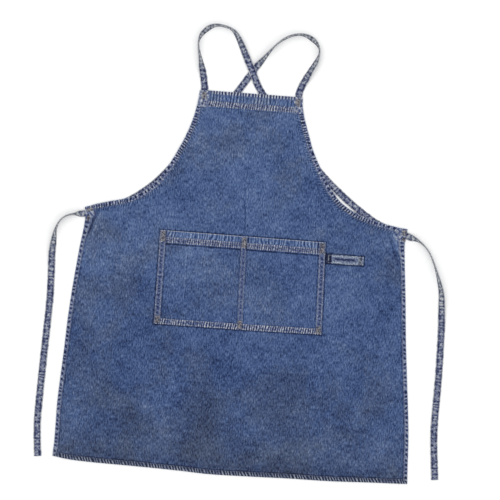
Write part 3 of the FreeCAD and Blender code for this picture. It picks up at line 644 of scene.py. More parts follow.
def seam_looks(n, kind, s, d, seed):
    """How a sewn edge has worn: (how much of the worn look, how pale it is, change in the cloth beside it). The change
    beside it is wear, and where a hem or margin ends it also holds a painted shadow of the step.
    """
    if kind == "arm":
        dash = n.step(-0.10, 0.45, ticks(n, s, d, 0.0098, 0.1, seed, 1.6))
        teeth = n.step(-0.30, 0.50, ticks(n, s, d, 0.0053, 0.08, seed + 1, 1.5))
        which = n.step(0.50, 0.62, n.noise(n.vec(n.mul(s, 9.0), seed * 2.3, 0.7), 1.0, 1.0))
        blocks = n.mul(n.mul(dash, n.bump_at(d, 0.0032, 0.0042)), n.sub(0.96, n.mul(which, 0.80)))
        lines = n.mul(n.mul(teeth, band(n, d, 0.0014, 0.0102)), n.add(0.27, n.mul(which, 0.56)))
        vary = n.add(0.40, n.mul(n.noise(n.vec(n.mul(s, 24.0), seed * 3.1, 0.4), 1.0, 1.0), 1.10))
        p = n.add(n.sub(0.78, n.mul(n.add(blocks, lines), vary)), n.mul(speckle(n, s, d, seed), 0.36))
        p = n.sub(p, n.mul(n.step(0.0028, 0.0050, d), 0.06))
        worn = n.mul(band(n, d, 0.0, 0.0098, 0.0016), 0.94)
        beside = n.mul(n.mul(ticks(n, s, d, 0.0052, 0.5, seed + 2), band(n, d, 0.0100, 0.0160, 0.0030)), 0.20)
        return worn, p, n.sub(beside, n.mul(band(n, d, 0.0086, 0.0170, 0.0030), 0.05))
    if kind == "side":
        dash = n.mul(n.step(-0.30, 0.30, ticks(n, s, d, 0.0092, 0.1, seed, 2.4)), n.bump_at(d, 0.0034, 0.0042))
        vary = n.add(0.45, n.mul(n.noise(n.vec(n.mul(s, 26.0), seed * 2.7, 0.8), 1.0, 1.0), 1.05))
        p = n.sub(0.73, n.mul(n.mul(dash, vary), 0.84))
        p = n.add(p, n.mul(speckle(n, s, d, seed), 0.20))
        p = n.sub(p, n.mul(n.bump_at(d, 0.0082, 0.0018), 0.17))
        p = n.sub(p, n.mul(n.bump_at(d, 0.0042, 0.0016), 0.05))
        p = n.add(p, n.mul(n.sub(patchy(n, s, 0.03, seed), 0.6), 0.14))
        worn = n.mul(band(n, d, 0.0, 0.0084, 0.0010), 0.88)
        # the dark line just past the hem's edge is painted shadow of the hem's step
        return worn, p, n.mul(n.bump_at(d, 0.0096, 0.0020), -0.19)
    if kind == "foot":
        t = ticks(n, s, d, 0.0060, -0.45, seed, 1.5)
        p = n.add(0.35, n.mul(t, n.add(0.25, n.mul(patchy(n, s, 0.024, seed), 0.32))))
        p = n.sub(p, n.mul(n.step(0.0038, 0.0060, d), 0.09))
        p = n.add(p, n.mul(speckle(n, s, d, seed), 0.20))
        p = n.add(p, n.mul(n.sub(1.0, n.step(0.0004, 0.0018, d)), 0.06))
        worn = n.mul(band(n, d, 0.0, 0.0092, 0.0010), 0.92)
        # a dark line just past the hem's edge is painted shadow of the hem's step; the cloth beyond is a little darker
        beside = n.add(n.mul(n.bump_at(d, 0.0104, 0.0017), -0.30), n.mul(band(n, d, 0.0100, 0.0300, 0.0080), -0.045))
        return worn, p, beside
    if kind == "bib":
        t = ticks(n, s, d, 0.0060, 0.05, seed, 1.0)
        t = n.mul(t, n.add(0.35, n.mul(patchy(n, s, 0.016, seed + 5), 0.75)))
        p = n.add(0.55, n.mul(t, 0.60))
        near = band(n, d, 0.0, 0.0076, 0.0026)
        t2 = ticks(n, s, d, 0.0046, 0.12, seed + 1, 1.7)
        p2 = n.add(0.47, n.mul(t2, n.add(0.18, n.mul(patchy(n, s, 0.020, seed + 1), 0.26))))
        p2 = n.add(p2, n.mul(speckle(n, s, d, seed), 0.40))
        p2 = n.add(p2, n.mul(n.add(n.bump_at(d, 0.0222, 0.0018), n.bump_at(d, 0.0306, 0.0018)), 0.09))
        low = band(n, d, 0.0202, 0.0322, 0.0010)
        worn = n.add(n.mul(near, 0.94), n.mul(low, 0.94))
        p = n.add(n.mul(p, near), n.mul(p2, n.sub(1.0, near)))
        t3 = ticks(n, s, d, 0.0068, 0.02, seed + 3, 1.6)
        # the dark line just past the hem's lower edge is painted shadow of the hem's step
        beside = n.add(n.mul(n.mul(t, band(n, d, 0.0076, 0.0200, 0.003)), 0.18), n.mul(n.bump_at(d, 0.0342, 0.0024), -0.14))
        beside = n.add(beside, n.mul(n.mul(t3, band(n, d, 0.0070, 0.0205, 0.003)), 0.18))
        beside = n.sub(beside, n.mul(band(n, d, 0.0072, 0.0118, 0.0030), 0.06))
        beside = n.add(beside, n.mul(n.mul(t2, band(n, d, 0.0325, 0.0420, 0.003)), 0.10))
        return worn, p, n.add(beside, n.mul(band(n, d, 0.0, 0.0330), 0.02))
    if kind == "mouth":
        t = n.mul(ticks(n, s, d, 0.0066, 0.05, seed, 2.6), n.add(0.25, n.mul(patchy(n, s, 0.020, seed + 5), 0.85)))
        t2 = ticks(n, s, d, 0.0045, 0.04, seed + 1, 1.6)
        edge = n.sub(1.0, n.step(0.0008, 0.0026, d))
        p2 = n.add(0.43, n.mul(t2, n.add(0.17, n.mul(patchy(n, s, 0.022, seed + 1), 0.22))))
        p2 = n.add(p2, n.mul(speckle(n, s, d, seed), 0.34))
        p2 = n.add(p2, n.mul(n.add(n.bump_at(d, 0.0142, 0.0018), n.bump_at(d, 0.0230, 0.0018)), 0.24))
        low = band(n, d, 0.0124, 0.0246, 0.0010)
        worn = n.add(n.mul(edge, 0.92), n.mul(low, 0.92))
        p = n.add(n.mul(edge, n.add(0.82, n.mul(t, 0.14))), n.mul(p2, n.sub(1.0, edge)))
        # the dark line just below the mouth hem is painted shadow of the hem's step
        beside = n.add(n.mul(n.mul(t, band(n, d, 0.0020, 0.0125, 0.002)), 0.30), n.mul(n.bump_at(d, 0.0268, 0.0030), -0.42))
        return worn, p, n.add(beside, n.mul(band(n, d, 0.0, 0.0125), 0.05))
    if kind == "pocket_foot":
        t = ticks(n, s, d, 0.0047, 0.15, seed, 1.4)
        p = n.add(0.42, n.mul(t, n.add(0.16, n.mul(patchy(n, s, 0.020, seed), 0.30))))
        p = n.add(p, n.mul(speckle(n, s, d, seed), 0.44))
        p = n.add(p, n.mul(n.add(n.bump_at(d, 0.0019, 0.0020), n.bump_at(d, 0.0106, 0.0017)), 0.28))
        worn = n.mul(band(n, d, 0.0, 0.0118, 0.0008), 0.94)
        # the dark line just past the turned margin is painted shadow of its step
        return worn, p, n.mul(n.bump_at(d, 0.0130, 0.0016), -0.12)
    if kind == "pocket_side":
        t = ticks(n, s, d, 0.0078, 0.2, seed, 2.0)
        rows = n.add(n.bump_at(d, 0.0016, 0.0026), n.bump_at(d, 0.0106, 0.0024))
        dashes = n.mul(n.bump_at(d, 0.0058, 0.0042), n.step(-0.25, 0.40, t))
        p = n.sub(n.add(0.51, n.mul(rows, 0.22)), n.mul(dashes, 0.52))
        p = n.add(p, n.mul(speckle(n, s, d, seed), 0.30))
        worn = n.mul(band(n, d, 0.0, 0.0118, 0.0010), 0.82)
        # the dark line just past the turned margin is painted shadow of its step
        beside = n.mul(n.bump_at(d, 0.0136, 0.0020), -0.24)
        return worn, p, beside
    if kind in ("patch", "dull_patch"):     # a corner where several layers are sewn together: s and d run from -1 to 1 across it
        u, v = n.math("ABSOLUTE", s), n.math("ABSOLUTE", d)
        on = n.mul(n.sub(1.0, n.step(0.86, 1.06, u)), n.sub(1.0, n.step(0.86, 1.06, v)))
        x, y, z = n.split(n.obj())
        blot = n.noise(n.vec(n.mul(x, 210.0), n.mul(y, 190.0), seed), 1.0, 1.0)
        return n.mul(on, 0.84), n.add(0.68 if kind == "patch" else 0.57, n.mul(n.sub(n.step(0.34, 0.62, blot), 0.62), 0.62)), 0.0
    t = ticks(n, s, d, 0.0084, 0.1, seed, 2.0)      # the line down the middle of the pocket
    rows = n.add(n.bump_at(d, -0.0037, 0.0021), n.bump_at(d, 0.0037, 0.0021))
    dashes = n.mul(n.bump_at(d, 0.0003, 0.0028), n.step(-0.15, 0.45, t))
    p = n.add(n.sub(0.47, n.mul(dashes, 0.44)), n.mul(rows, 0.20))
    p = n.add(p, n.mul(speckle(n, s, d, seed), 0.30))
    worn = n.mul(n.mul(n.step(-0.0056, -0.0044, d), n.sub(1.0, n.step(0.0044, 0.0056, d))), 0.74)
    return worn, p, n.mul(n.add(n.bump_at(d, -0.0068, 0.0022), n.bump_at(d, 0.0068, 0.0022)), -0.15)


def denim(name, seams, lift=0.0, marks=()):
    """Stone-washed denim. seams: (kind, edge numbers or None, s, d, seed); marks(n, x, y) gives the rest."""
    n = Nodes(name)
    x, y, z = n.split(n.obj())
    s, d, _ = n.split(n.uv("seam"))
    edge = n.attr("edge")
    twill, slub, weft, grain = weave(n, x, y)
    mottle = n.noise(n.vec(x, y), 75.0, 3.0, 0.55)
    fade = n.noise(n.vec(x, y), 26.0, 2.0, 0.5)
    cloud = n.noise(n.vec(x, y), 8.0, 3.0, 0.55, 0.3)
    v = n.add(n.mul(n.sub(slub, 0.5), 0.66), n.mul(n.sub(grain, 0.5), 1.24))
    v = n.add(v, n.mul(n.sub(weft, 0.5), 0.18))
    v = n.add(v, n.mul(n.sub(twill, 0.5), 0.16))
    v = n.add(v, n.mul(n.sub(mottle, 0.5), 0.40))
    v = n.add(v, n.mul(n.sub(fade, 0.5), 0.28))
    v = n.add(v, n.mul(n.sub(cloud, 0.5), 0.50))
    v = n.add(v, 0.335 + lift)
    v = n.add(v, n.mul(n.step(-0.36, 0.30, y), 0.115))
    base = v
    worn, pale = 0.0, 0.5
    for kind, ids, s_of, d_of, seed in seams:
        sx = s if s_of is None else s_of(n, x, y)
        dx = d if d_of is None else d_of(n, x, y)
        w, p, beside = seam_looks(n, kind, sx, dx, seed)
        if kind == "patch":
            worn = n.math("MAXIMUM", worn, w)
            pale = n.add(n.mul(n.sub(1.0, w), pale), n.mul(w, p))
            continue
        if ids is not None:
            on = None
            for i in ids:
                m = n.math("COMPARE", edge, float(i), 0.3)
                on = m if on is None else n.add(on, m)
            w, beside = n.mul(w, on), n.mul(beside, on)
        base = n.add(base, beside)
        pale = n.add(n.mul(n.sub(1.0, w), pale) if hasattr(pale, "is_output") else n.mul(n.sub(1.0, w), pale), n.mul(w, p))
        worn = w if not hasattr(worn, "is_output") else n.math("MAXIMUM", worn, w)
    # the wash grain shows on the worn edges too
    pale = n.add(pale, n.add(n.mul(n.sub(grain, 0.5), 0.66), n.mul(n.sub(slub, 0.5), 0.30)))
    for mark in marks:
        m = mark(n, x, y)
        base, pale = n.add(base, m), n.add(pale, n.mul(m, 0.6))
    # the foot of the apron is greyer
    # and elsewhere the cloth drifts between blue and grey
    drift = n.noise(n.vec(x, y, 3.3), 11.0, 3.0, 0.55, 0.2)
    speck = n.noise(n.vec(n.mul(x, 150.0), n.mul(y, 75.0), 4.1), 1.0, 2.0, 0.5)
    mx, my = n.sub(x, 0.05), n.sub(y, 0.0)
    middle = n.sub(1.0, n.step(0.08, 0.36, n.math("SQRT", n.add(n.mul(mx, mx), n.mul(my, my)))))
    grey = n.add(n.mul(n.sub(1.0, n.step(-0.36, -0.20, y)), 0.20), n.mul(n.step(0.38, 0.68, drift), 0.36))
    grey = n.sub(grey, n.mul(middle, 0.22))
    grey = n.math("ADD", grey, n.mul(n.sub(speck, 0.45), 0.50), clamp=True)
    colour = n.mix(grey, n.ramp(base, DENIM), n.ramp(base, PLAIN))
    low = n.mul(n.sub(1.0, n.step(-0.368, -0.350, y)), 0.55)
    colour = n.mix(worn, colour, n.mix(low, n.ramp(pale, WORN), n.ramp(pale, PLAIN)))
    height = n.add(n.mul(twill, 0.35), n.add(n.mul(slub, 0.5), n.mul(grain, 0.5)))
    return n.finish(colour, height, 0.5, 0.00025)


def denim_back(name, hems, whole=None):
    """The paler reverse of the cloth, with the turned hems showing its blue face. hems: (edge numbers, width in metres);
    whole(n, x, y) is the distance from an edge whose deep hem runs right across."""
    n = Nodes(name)
    x, y, z = n.split(n.obj())
    s, d, _ = n.split(n.uv("seam"))
    edge = n.attr("edge")
    twill, slub, weft, grain = weave(n, x, y)
    mottle = n.noise(n.vec(x, y), 75.0, 3.0, 0.55)
    cloud = n.noise(n.vec(x, y), 8.0, 3.0, 0.55, 0.3)
    v = n.add(n.mul(n.sub(slub, 0.5), 0.55), n.mul(n.sub(grain, 0.5), 1.0))
    v = n.add(n.add(v, n.mul(n.sub(twill, 0.5), 0.30)), n.add(n.mul(n.sub(mottle, 0.5), 0.35), n.mul(n.sub(cloud, 0.5), 0.40)))
    v = n.add(v, 0.46)
    turned, line = None, None
    for ids, width in hems:
        on = None
        for i in ids:
            m = n.math("COMPARE", edge, float(i), 0.3)
            on = m if on is None else n.add(on, m)
        # a is the turned hem; b is a dark line just past its edge, painted shadow of the hem's step
        a, b = n.mul(on, band(n, d, 0.0, width, 0.0005)), n.mul(on, n.bump_at(d, width + 0.0006, 0.0014))
        turned, line = (a, b) if turned is None else (n.add(turned, a), n.add(line, b))
    if whole is not None:
        dx, width = whole
        dx = dx(n, x, y)
        turned = n.math("MAXIMUM", turned, band(n, dx, 0.0, width, 0.0005))
        line = n.mul(n.math("MAXIMUM", line, n.bump_at(dx, width + 0.0006, 0.0014)), 1.0)
    # darken by the painted shadow line beside each hem
    v = n.sub(v, n.mul(line, 0.30))
    v = n.add(v, n.mul(n.mul(turned, ticks(n, s, d, 0.0065, 0.4, 3.0, 1.5)), 0.10))
    colour = n.mix(turned, n.ramp(v, REVERSE), n.ramp(v, DENIM))
    height = n.add(n.mul(twill, 0.35), n.add(n.mul(slub, 0.5), n.mul(grain, 0.5)))
    return n.finish(colour, height, 0.5, 0.00025)


# ------------------------------------------------------------------ body panel
# millimetre lines of the pocket's outline, for the painted shadow that its edge throws on the panel
POCKET_CORNERS = [(-174.4, 97.0), (157.4, 96.4), (162.6, -88.0), (-1.5, -90.4), (-173.6, -90.9)]


def pocket_painted_shadow(n, x, y):
    """Painted shadow just outside the pocket's edge."""
    far = None
    for (ax, ay), (bx, by) in zip(POCKET_CORNERS, POCKET_CORNERS[1:] + POCKET_CORNERS[:1]):
        L = math.hypot(bx - ax, by - ay)
        nx, ny = -(by - ay) / L, (bx - ax) / L
        c = (nx * ax + ny * ay) / 1000.0
        d = n.sub(n.add(n.mul(x, nx), n.mul(y, ny)), c)
        far = d if far is None else n.math("MAXIMUM", far, d)
    return n.mul(n.mul(n.step(-0.001, 0.0003, far), n.sub(1.0, n.step(0.0008, 0.0040, far))), -0.32)


def pale_line(ax, ay, bx, by, width, power):
    """A soft line between two places, paler or darker than the cloth. Millimetres."""
    def mark(n, x, y):
        L = math.hypot(bx - ax, by - ay)
        tx, ty = (bx - ax) / L, (by - ay) / L
        along = n.sub(n.add(n.mul(x, tx), n.mul(y, ty)), (tx * ax + ty * ay) / 1000.0)
        off = n.sub(n.add(n.mul(x, -ty), n.mul(y, tx)), (-ty * ax + tx * ay) / 1000.0)
        off = n.add(off, n.mul(n.sub(n.noise(n.vec(n.mul(along, 40.0), ax * 0.01), 1.0, 1.0), 0.5), width / 1000 * 2.2))
        on = n.mul(n.step(0.0, 0.2 * L / 1000, along), n.sub(1.0, n.step(0.8 * L / 1000, L / 1000, along)))
        return n.mul(n.mul(on, n.bump_at(off, 0.0, width / 1000)), power)
    return mark


def loop_painted_shadow(n, x, y):
    """Painted shadow under and round the tool loop."""
    dx = n.sub(n.math("ABSOLUTE", n.sub(x, 0.1981)), 0.0376)
    dy = n.sub(n.math("ABSOLUTE", n.sub(y, 0.0646)), 0.0090)
    far = n.math("MAXIMUM", dx, dy)
    return n.mul(n.sub(1.0, n.step(0.0005, 0.0038, far)), -0.42)


def corner(cx, cy, reach, power):
    def mark(n, x, y):
        dx, dy = n.sub(x, cx / 1000), n.sub(y, cy / 1000)
        r = n.math("SQRT", n.add(n.mul(dx, dx), n.mul(dy, dy)))
        return n.mul(n.sub(1.0, n.step(reach * 0.4 / 1000, reach / 1000, r)), power)
    return mark


def patch(cx, cy, half_w, half_h, seed, pale=1.0):
    return ("patch" if pale == 1.0 else "dull_patch", None, lambda n, x, y: n.mul(n.sub(x, cx / 1000), 1000.0 / half_w),
            lambda n, x, y: n.mul(n.sub(y, cy / 1000), 1000.0 / half_h), seed)


PANEL_SEAMS = [("bib", None, lambda n, x, y: x, lambda n, x, y: n.sub(0.3824, y), 1.0),
               ("arm", (1, 5), None, None, 2.0), ("side", (2, 4), None, lambda n, x, y: n.math("DIVIDE", n.split(n.uv("seam"))[1], n.add(1.0, n.mul(n.step(0.060, 0.128, y), 0.75))), 3.0), ("foot", (3,), None, None, 4.0),
               patch(-107.0, 365.0, 11.0, 17.5, 11.0), patch(82.5, 365.0, 10.0, 17.5, 12.0),
               patch(-317.0, 122.0, 12.0, 11.0, 13.0, 0.78), patch(308.0, 124.0, 12.0, 12.0, 14.0, 0.86)]
panel_rings = (0.45, 1.1, 2.1, 3.3, 4.6, 6.0, 7.4, 8.8, 10.2, 11.8, 14.2, 17.2)
body_panel = cut_cloth("body_panel_cloth", LINES, panel_rings, 4.6, panel_at,
                       fine=((-114.0, 89.0), (347.0, 368.0), 2.0))
body_panel.data.materials[1] = denim_back("denim_reverse", [((1, 5), 0.011), ((2, 4), 0.009), ((3,), 0.010)],
                                          (lambda n, x, y: n.sub(0.3824, y), 0.033))
# the panel's colour; its first two marks are painted shadow round the pocket and under and round the tool loop
body_panel.data.materials[0] = (denim("stonewashed_denim", PANEL_SEAMS, marks=[
    pocket_painted_shadow, loop_painted_shadow, pale_line(-11.5, 200.0, -4.7, 98.0, 2.6, -0.16), pale_line(-0.4, -96.0, -18.1, -185.0, 2.4, -0.18),
    pale_line(-8.0, 205.0, -1.5, 100.0, 3.0, 0.08), pale_line(-120.0, -130.0, -150.0, -340.0, 9.0, 0.05),
    pale_line(-180.0, 150.0, -262.0, 60.0, 8.0, 0.05), pale_line(190.0, 140.0, 262.0, 66.0, 8.0, 0.05),
    pale_line(-300.0, 136.0, -318.0, 72.0, 3.4, -0.26), pale_line(-293.0, 133.0, -311.0, 70.0, 3.4, 0.14),
    corner(-356.6, -369.2, 10.0, 0.25), corner(356.6, -373.2, 10.0, 0.25),
    corner(-109.0, 375.0, 15.0, 0.22), corner(84.0, 375.0, 13.0, 0.20), corner(-322.0, 125.0, 17.0, 0.12),
    pale_line(289.0, 132.0, 316.0, 62.0, 5.0, 0.30), pale_line(280.0, 128.0, 308.0, 56.0, 5.0, -0.20),
    corner(312.0, 132.0, 16.0, 0.16), corner(300.0, 112.0, 34.0, 0.08), corner(-305.0, 112.0, 30.0, 0.08)]))
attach(body_panel, "apron")
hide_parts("body_panel")

# ------------------------------------------------------------------ pocket
P_TL, P_TR, P_BR, P_BC, P_BL = (-174.4, 97.0), (157.4, 96.4), (162.6, -88.0), (-1.5, -90.4), (-173.6, -90.9)
MID_TOP, MID_FOOT = np.array((-6.0, 96.7)), np.array((-1.6, -90.4))
POCKET_LINES = {"mouth": smooth_line([P_TL, P_TR], 2.0), "right": smooth_line([P_TR, P_BR], 2.0),
                "bottom": smooth_line([P_BR, P_BC, P_BL], 2.0), "left": smooth_line([P_BL, P_TL], 2.0)}
MID_LINE = np.array([MID_FOOT, MID_TOP])
POCKET_SEW = {"right": (1.8, 11.4), "left": (1.8, 11.4), "bottom": (2.0, 10.6)}
pocket_wave = Field(21, 40, 120)


def pocket_at(x, y, dist=None):
    if dist is None:
        dist = {k: to_line(x, y, POCKET_LINES[k]) for k in POCKET_LINES}
    under = panel_at(x, y)[0]
    v = np.clip((y + 90.5) / 187.0, 0, 1)
    mid_d, mid_s = to_line(x, y, MID_LINE)
    mid_x = MID_FOOT[0] + (MID_TOP[0] - MID_FOOT[0]) * v
    side_d = np.minimum(dist["left"][0], dist["right"][0])
    # how far inside the sewn margins a point is
    u_left = np.where(x < mid_x, np.clip((x - (P_BL[0] + 12)) / (mid_x - 7 - (P_BL[0] + 12)), 0, 1),
                      np.clip((x - (mid_x + 7)) / ((P_TR[0] + (P_BR[0] - P_TR[0]) * (1 - v) - 12) - (mid_x + 7)), 0, 1))
    arch = np.sin(math.pi * u_left) ** 0.75
    puff = 3.3 * arch * smoothstep(0.0, 0.16, v) * (0.28 + 0.72 * v ** 1.6)
    puff *= 1 + 0.10 * pocket_wave(x, y)
    top = under + 1.0 + puff
    # turned margins and the deep mouth hem
    up = np.zeros(np.shape(x))
    detail = np.zeros(np.shape(x))
    for k, w in (("left", 11.0), ("right", 11.0), ("bottom", 10.5)):
        up = np.maximum(up, 1 - smoothstep(w - 1.2, w + 1.2, dist[k][0]))
    mouth_d, mouth_s = dist["mouth"]
    hem = 1 - smoothstep(25.0, 27.2, mouth_d)
    up = np.maximum(up, hem)
    top = top + 0.65 * up
    for i, (k, rows) in enumerate(POCKET_SEW.items()):
        d, s = dist[k]
        for st in rows:
            detail -= 0.30 * np.exp(-((d - st) / 0.8) ** 2)
        between = smoothstep(1.8, 3.4, d) * (1 - smoothstep(rows[1] - 1.6, rows[1], d))
        detail += 0.22 * np.sin(2 * math.pi * s / 8.0 + 2 * Wobble(80 + i, 12, 40)(s)) * between
        out = smoothstep(rows[1], rows[1] + 1.5, d) * np.exp(-np.clip(d - rows[1], 0, None) / 6.0)
        detail += 0.20 * np.sin(2 * math.pi * s / 9.0 + 2 * Wobble(84 + i, 12, 40)(s)) * out
    for st in (3.8,):
        detail -= 0.32 * np.exp(-((mid_d - st) / 0.8) ** 2)
    detail += 0.22 * np.sin(2 * math.pi * mid_s / 8.5 + 2 * Wobble(90, 12, 40)(mid_s)) * (1 - smoothstep(2.4, 3.8, mid_d))
    out = smoothstep(3.8, 5.2, mid_d) * np.exp(-np.clip(mid_d - 3.8, 0, None) / 6.0)
    detail += 0.20 * np.sin(2 * math.pi * mid_s / 9.5 + 2 * Wobble(91, 12, 40)(mid_s)) * out
    for st in (14.2, 18.4, 22.6):
        detail -= 0.25 * np.exp(-((mouth_d - st) / 0.8) ** 2)
    rows = smoothstep(12.8, 14.6, mouth_d) * (1 - smoothstep(22.6, 24.4, mouth_d))
    detail += 0.16 * np.sin(2 * math.pi * (mouth_s + 0.8 * mouth_d) / 4.8 + 1.3 * Wobble(92, 10, 30)(mouth_s)) * rows
    edge = smoothstep(0, 2, mouth_d) * (1 - smoothstep(3.5, 6, mouth_d))
    detail += 0.16 * np.sin(2 * math.pi * mouth_s / 6.5 + 1.6 * Wobble(93, 12, 40)(mouth_s)) * edge
    # the pen crease
    pen_d, pen_s = to_line(x, y, np.array([(-118.0, -60.0), (-118.1, 70.0)]))
    detail -= 0.35 * np.exp(-(pen_d / 1.6) ** 2) * smoothstep(0, 20, pen_s) * smoothstep(130, 100, pen_s)
    top = top + detail
    back = top - 0.85 - 0.7 * up
    back = np.maximum(back, under + 0.06)
    dmin = np.min([dist[k][0] for k in dist], axis=0)
    r = 1.0
    t = np.clip(1 - dmin / r, 0, 1)
    roll = r * (1 - np.sqrt(np.clip(1 - t * t, 0, 1)))
    midz = 0.5 * (top + back)
    top = np.maximum(top - roll * 0.7, midz + 0.1)
    back = np.where(dmin < r, np.minimum(back + roll * 0.4, midz - 0.1), back)
    return top, np.minimum(back, top - 0.45)


POCKET_SEAMS = [("pocket_side", (1, 3), None, None, 6.0), ("pocket_foot", (2,), None, None, 7.0),
                ("middle", None, lambda n, x, y: y, lambda n, x, y: n.add(n.add(x, 0.003726), n.mul(y, 0.023517)), 8.0),
                ("mouth", None, lambda n, x, y: x, lambda n, x, y: n.sub(n.sub(0.096685, n.mul(x, 0.001808)), y), 5.0)]
pocket = cut_cloth("pocket_cloth", POCKET_LINES, (0.4, 1.0, 1.9, 3.0, 4.3, 5.7, 7.2, 8.8, 10.4, 12.0), 2.4,
                   pocket_at)
pocket.data.materials[1] = denim_back("pocket_reverse", [((1, 2, 3), 0.0125)],
                                      (lambda n, x, y: n.sub(n.sub(0.096685, n.mul(x, 0.001808)), y), 0.026))
pocket.data.materials[0] = (denim("stonewashed_pocket_denim", POCKET_SEAMS, lift=0.015, marks=[
    pale_line(-117.9, -52.0, -118.1, 72.0, 1.3, 0.22), pale_line(-115.6, -52.0, -115.8, 72.0, 1.6, -0.13),
    # the dark lines beside the mouth's bartacks, on this line and the next, are painted shadow
    pale_line(-160.4, 70.0, -160.4, 100.0, 2.6, -0.62), pale_line(2.2, 68.0, 2.2, 100.0, 2.6, -0.55),
    pale_line(-12.4, 70.0, -12.4, 100.0, 2.0, -0.40), pale_line(144.0, 70.0, 144.0, 100.0, 2.2, -0.40)]))
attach(pocket, "apron")
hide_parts("pocket_panel")

# ------------------------------------------------------------------ threads
def thread_material(name, light, dark, scale=300.0):
    n = Nodes(name)
    x, y, z = n.split(n.obj())
    spot = n.noise(n.vec(x, y, z), scale, 2.0, 0.6)
    ply = n.noise(n.vec(n.mul(x, 2600.0), n.mul(y, 2600.0), n.mul(z, 2600.0)), 1.0, 1.0)
    tint = n.mix(n.noise(n.vec(x, y, z), 45.0, 1.0), light, tuple(c * k for c, k in zip(light, (1.04, 0.99, 0.90))))
    colour = n.mix(n.step(0.42, 0.60, spot), dark, tint)
    return n.finish(colour, ply, 0.5, 0.0002, 0.85)


TAN = thread_material("faded_tan_thread", srgb(158, 160, 163), srgb(56, 58, 82))
TACK = thread_material("speckled_tack_thread", srgb(156, 155, 160), srgb(60, 60, 78), 330.0)
BLUE = thread_material("dark_blue_thread", srgb(104, 110, 132), srgb(32, 36, 64))


def stitch_shape(seg=6):
    """A stitch lying along X from -0.5 to 0.5, one unit in radius, humped in the middle."""
    rings = [(-0.5, 0.25, -0.55), (-0.40, 0.85, -0.1), (-0.15, 1.0, 0.18), (0.15, 1.0, 0.18), (0.40, 0.85, -0.1), (0.5, 0.25, -0.55)]
    verts, faces = [], []
    for x, r, h in rings:
        for k in range(seg):
            a = 2 * math.pi * k / seg
            verts.append((x, r * math.cos(a), r * math.sin(a) + h))
    for i in range(len(rings) - 1):
        for k in range(seg):
            faces.append((i * seg + k, i * seg + (k + 1) % seg, (i + 1) * seg + (k + 1) % seg, (i + 1) * seg + k))
    faces.append(tuple(range(seg))[::-1])
    faces.append(tuple((len(rings) - 1) * seg + k for k in range(seg)))
    return np.array(verts), faces


ST_V, ST_F = stitch_shape()


def lay_stitches(centres, along, up, length, radius):
    """Stitch meshes at each centre, pointing along, with up as their top. Arrays in mm."""
    centres, along, up = map(lambda a: np.asarray(a, float), (centres, along, up))
    along = along / np.linalg.norm(along, axis=1)[:, None]
    side = np.cross(up, along)
    side /= np.linalg.norm(side, axis=1)[:, None]
    up = np.cross(along, side)
    L = np.broadcast_to(np.asarray(length, float), (len(centres),))
    R = np.broadcast_to(np.asarray(radius, float), (len(centres),))
    v = (centres[:, None] + along[:, None] * (ST_V[None, :, 0:1] * L[:, None, None])
         + side[:, None] * (ST_V[None, :, 1:2] * R[:, None, None]) + up[:, None] * (ST_V[None, :, 2:3] * R[:, None, None]))
    m = len(ST_V)
    faces = [tuple(i + k * m for i in f) for k in range(len(centres)) for f in ST_F]
    return v.reshape(-1, 3), faces


def joined(name, chunks):
    verts, faces, base = [], [], 0
    for v, f in chunks:
        verts.append(v)
        faces += [tuple(i + base for i in face) for face in f]
        base += len(v)
    return new_object(name, np.concatenate(verts) / 1000.0, faces)


def row_on(surface, line, pitch=3.2, length=2.3, radius=0.42, seed=1, sink=0.10, back=False):
    """A row of stitches along a flat line, lying on a surface."""
    pts, s = resample(np.asarray(line, float), pitch)
    r = np.random.default_rng(seed)
    mid = 0.5 * (pts[:-1] + pts[1:])
    t = np.diff(pts, axis=0)
    t /= np.linalg.norm(t, axis=1)[:, None]
    mid = mid + np.stack([-t[:, 1], t[:, 0]], 1) * r.normal(0, 0.10, (len(mid), 1))
    a, b = mid - t * length * 0.42, mid + t * length * 0.42
    za, zb, zm = (surface(p[:, 0], p[:, 1])[1 if back else 0] for p in (a, b, mid))
    if back:
        z = np.maximum(np.minimum(zm, 0.5 * (za + zb)) - radius * 0.45 + sink, radius * 1.25)
    else:
        z = np.maximum(zm, 0.5 * (za + zb)) + radius * 0.45 - sink
    centres = np.column_stack([mid, z])
    along = np.column_stack([t, (zb - za) / (0.84 * length)])
    up = np.tile([0.0, 0.0, -1.0 if back else 1.0], (len(mid), 1))
    return lay_stitches(centres, along, up, length * (1 + r.normal(0, 0.05, len(mid))), radius)


def sewn_row(surface, line, **kw):
    """The same row of stitches on the front and on the back of the panel."""
    kw_back = dict(kw, seed=kw.get("seed", 1) + 300, back=True)
    return [row_on(surface, line, **kw), row_on(panel_at, line, **kw_back)]


def tack_on(surface, cx, cy, length, width, angle, seed, pitch=0.82, radius=0.40):
    """A bartack: tight zigzag threads across a narrow block. angle is its long way."""
    r = np.random.default_rng(seed)
    a = math.radians(angle)
    u, w = np.array([math.cos(a), math.sin(a)]), np.array([-math.sin(a), math.cos(a)])
    n = int(length / pitch)
    chunks = []
    pos = (np.arange(n) + 0.5) * pitch - n * pitch / 2
    pos = pos + r.normal(0, 0.06, n)
    centre = np.array([cx, cy]) + u[None] * pos[:, None] + w[None] * r.normal(0, 0.12, (n, 1))
    slant = 0.10 * np.where(np.arange(n) % 2 == 0, 1, -1)
    d = w[None] + u[None] * slant[:, None]
    z = surface(centre[:, 0], centre[:, 1])[0]
    hi = np.maximum.reduce([surface((centre + w * k)[:, 0], (centre + w * k)[:, 1])[0] for k in (-width * 0.3, 0, width * 0.3)])
    c3 = np.column_stack([centre, np.maximum(z, hi) + 0.12])
    chunks.append(lay_stitches(c3, np.column_stack([d, np.zeros(n)]), np.tile([0, 0, 1.0], (n, 1)),
                               width * (1 + r.normal(0, 0.04, n)), radius))
    return chunks


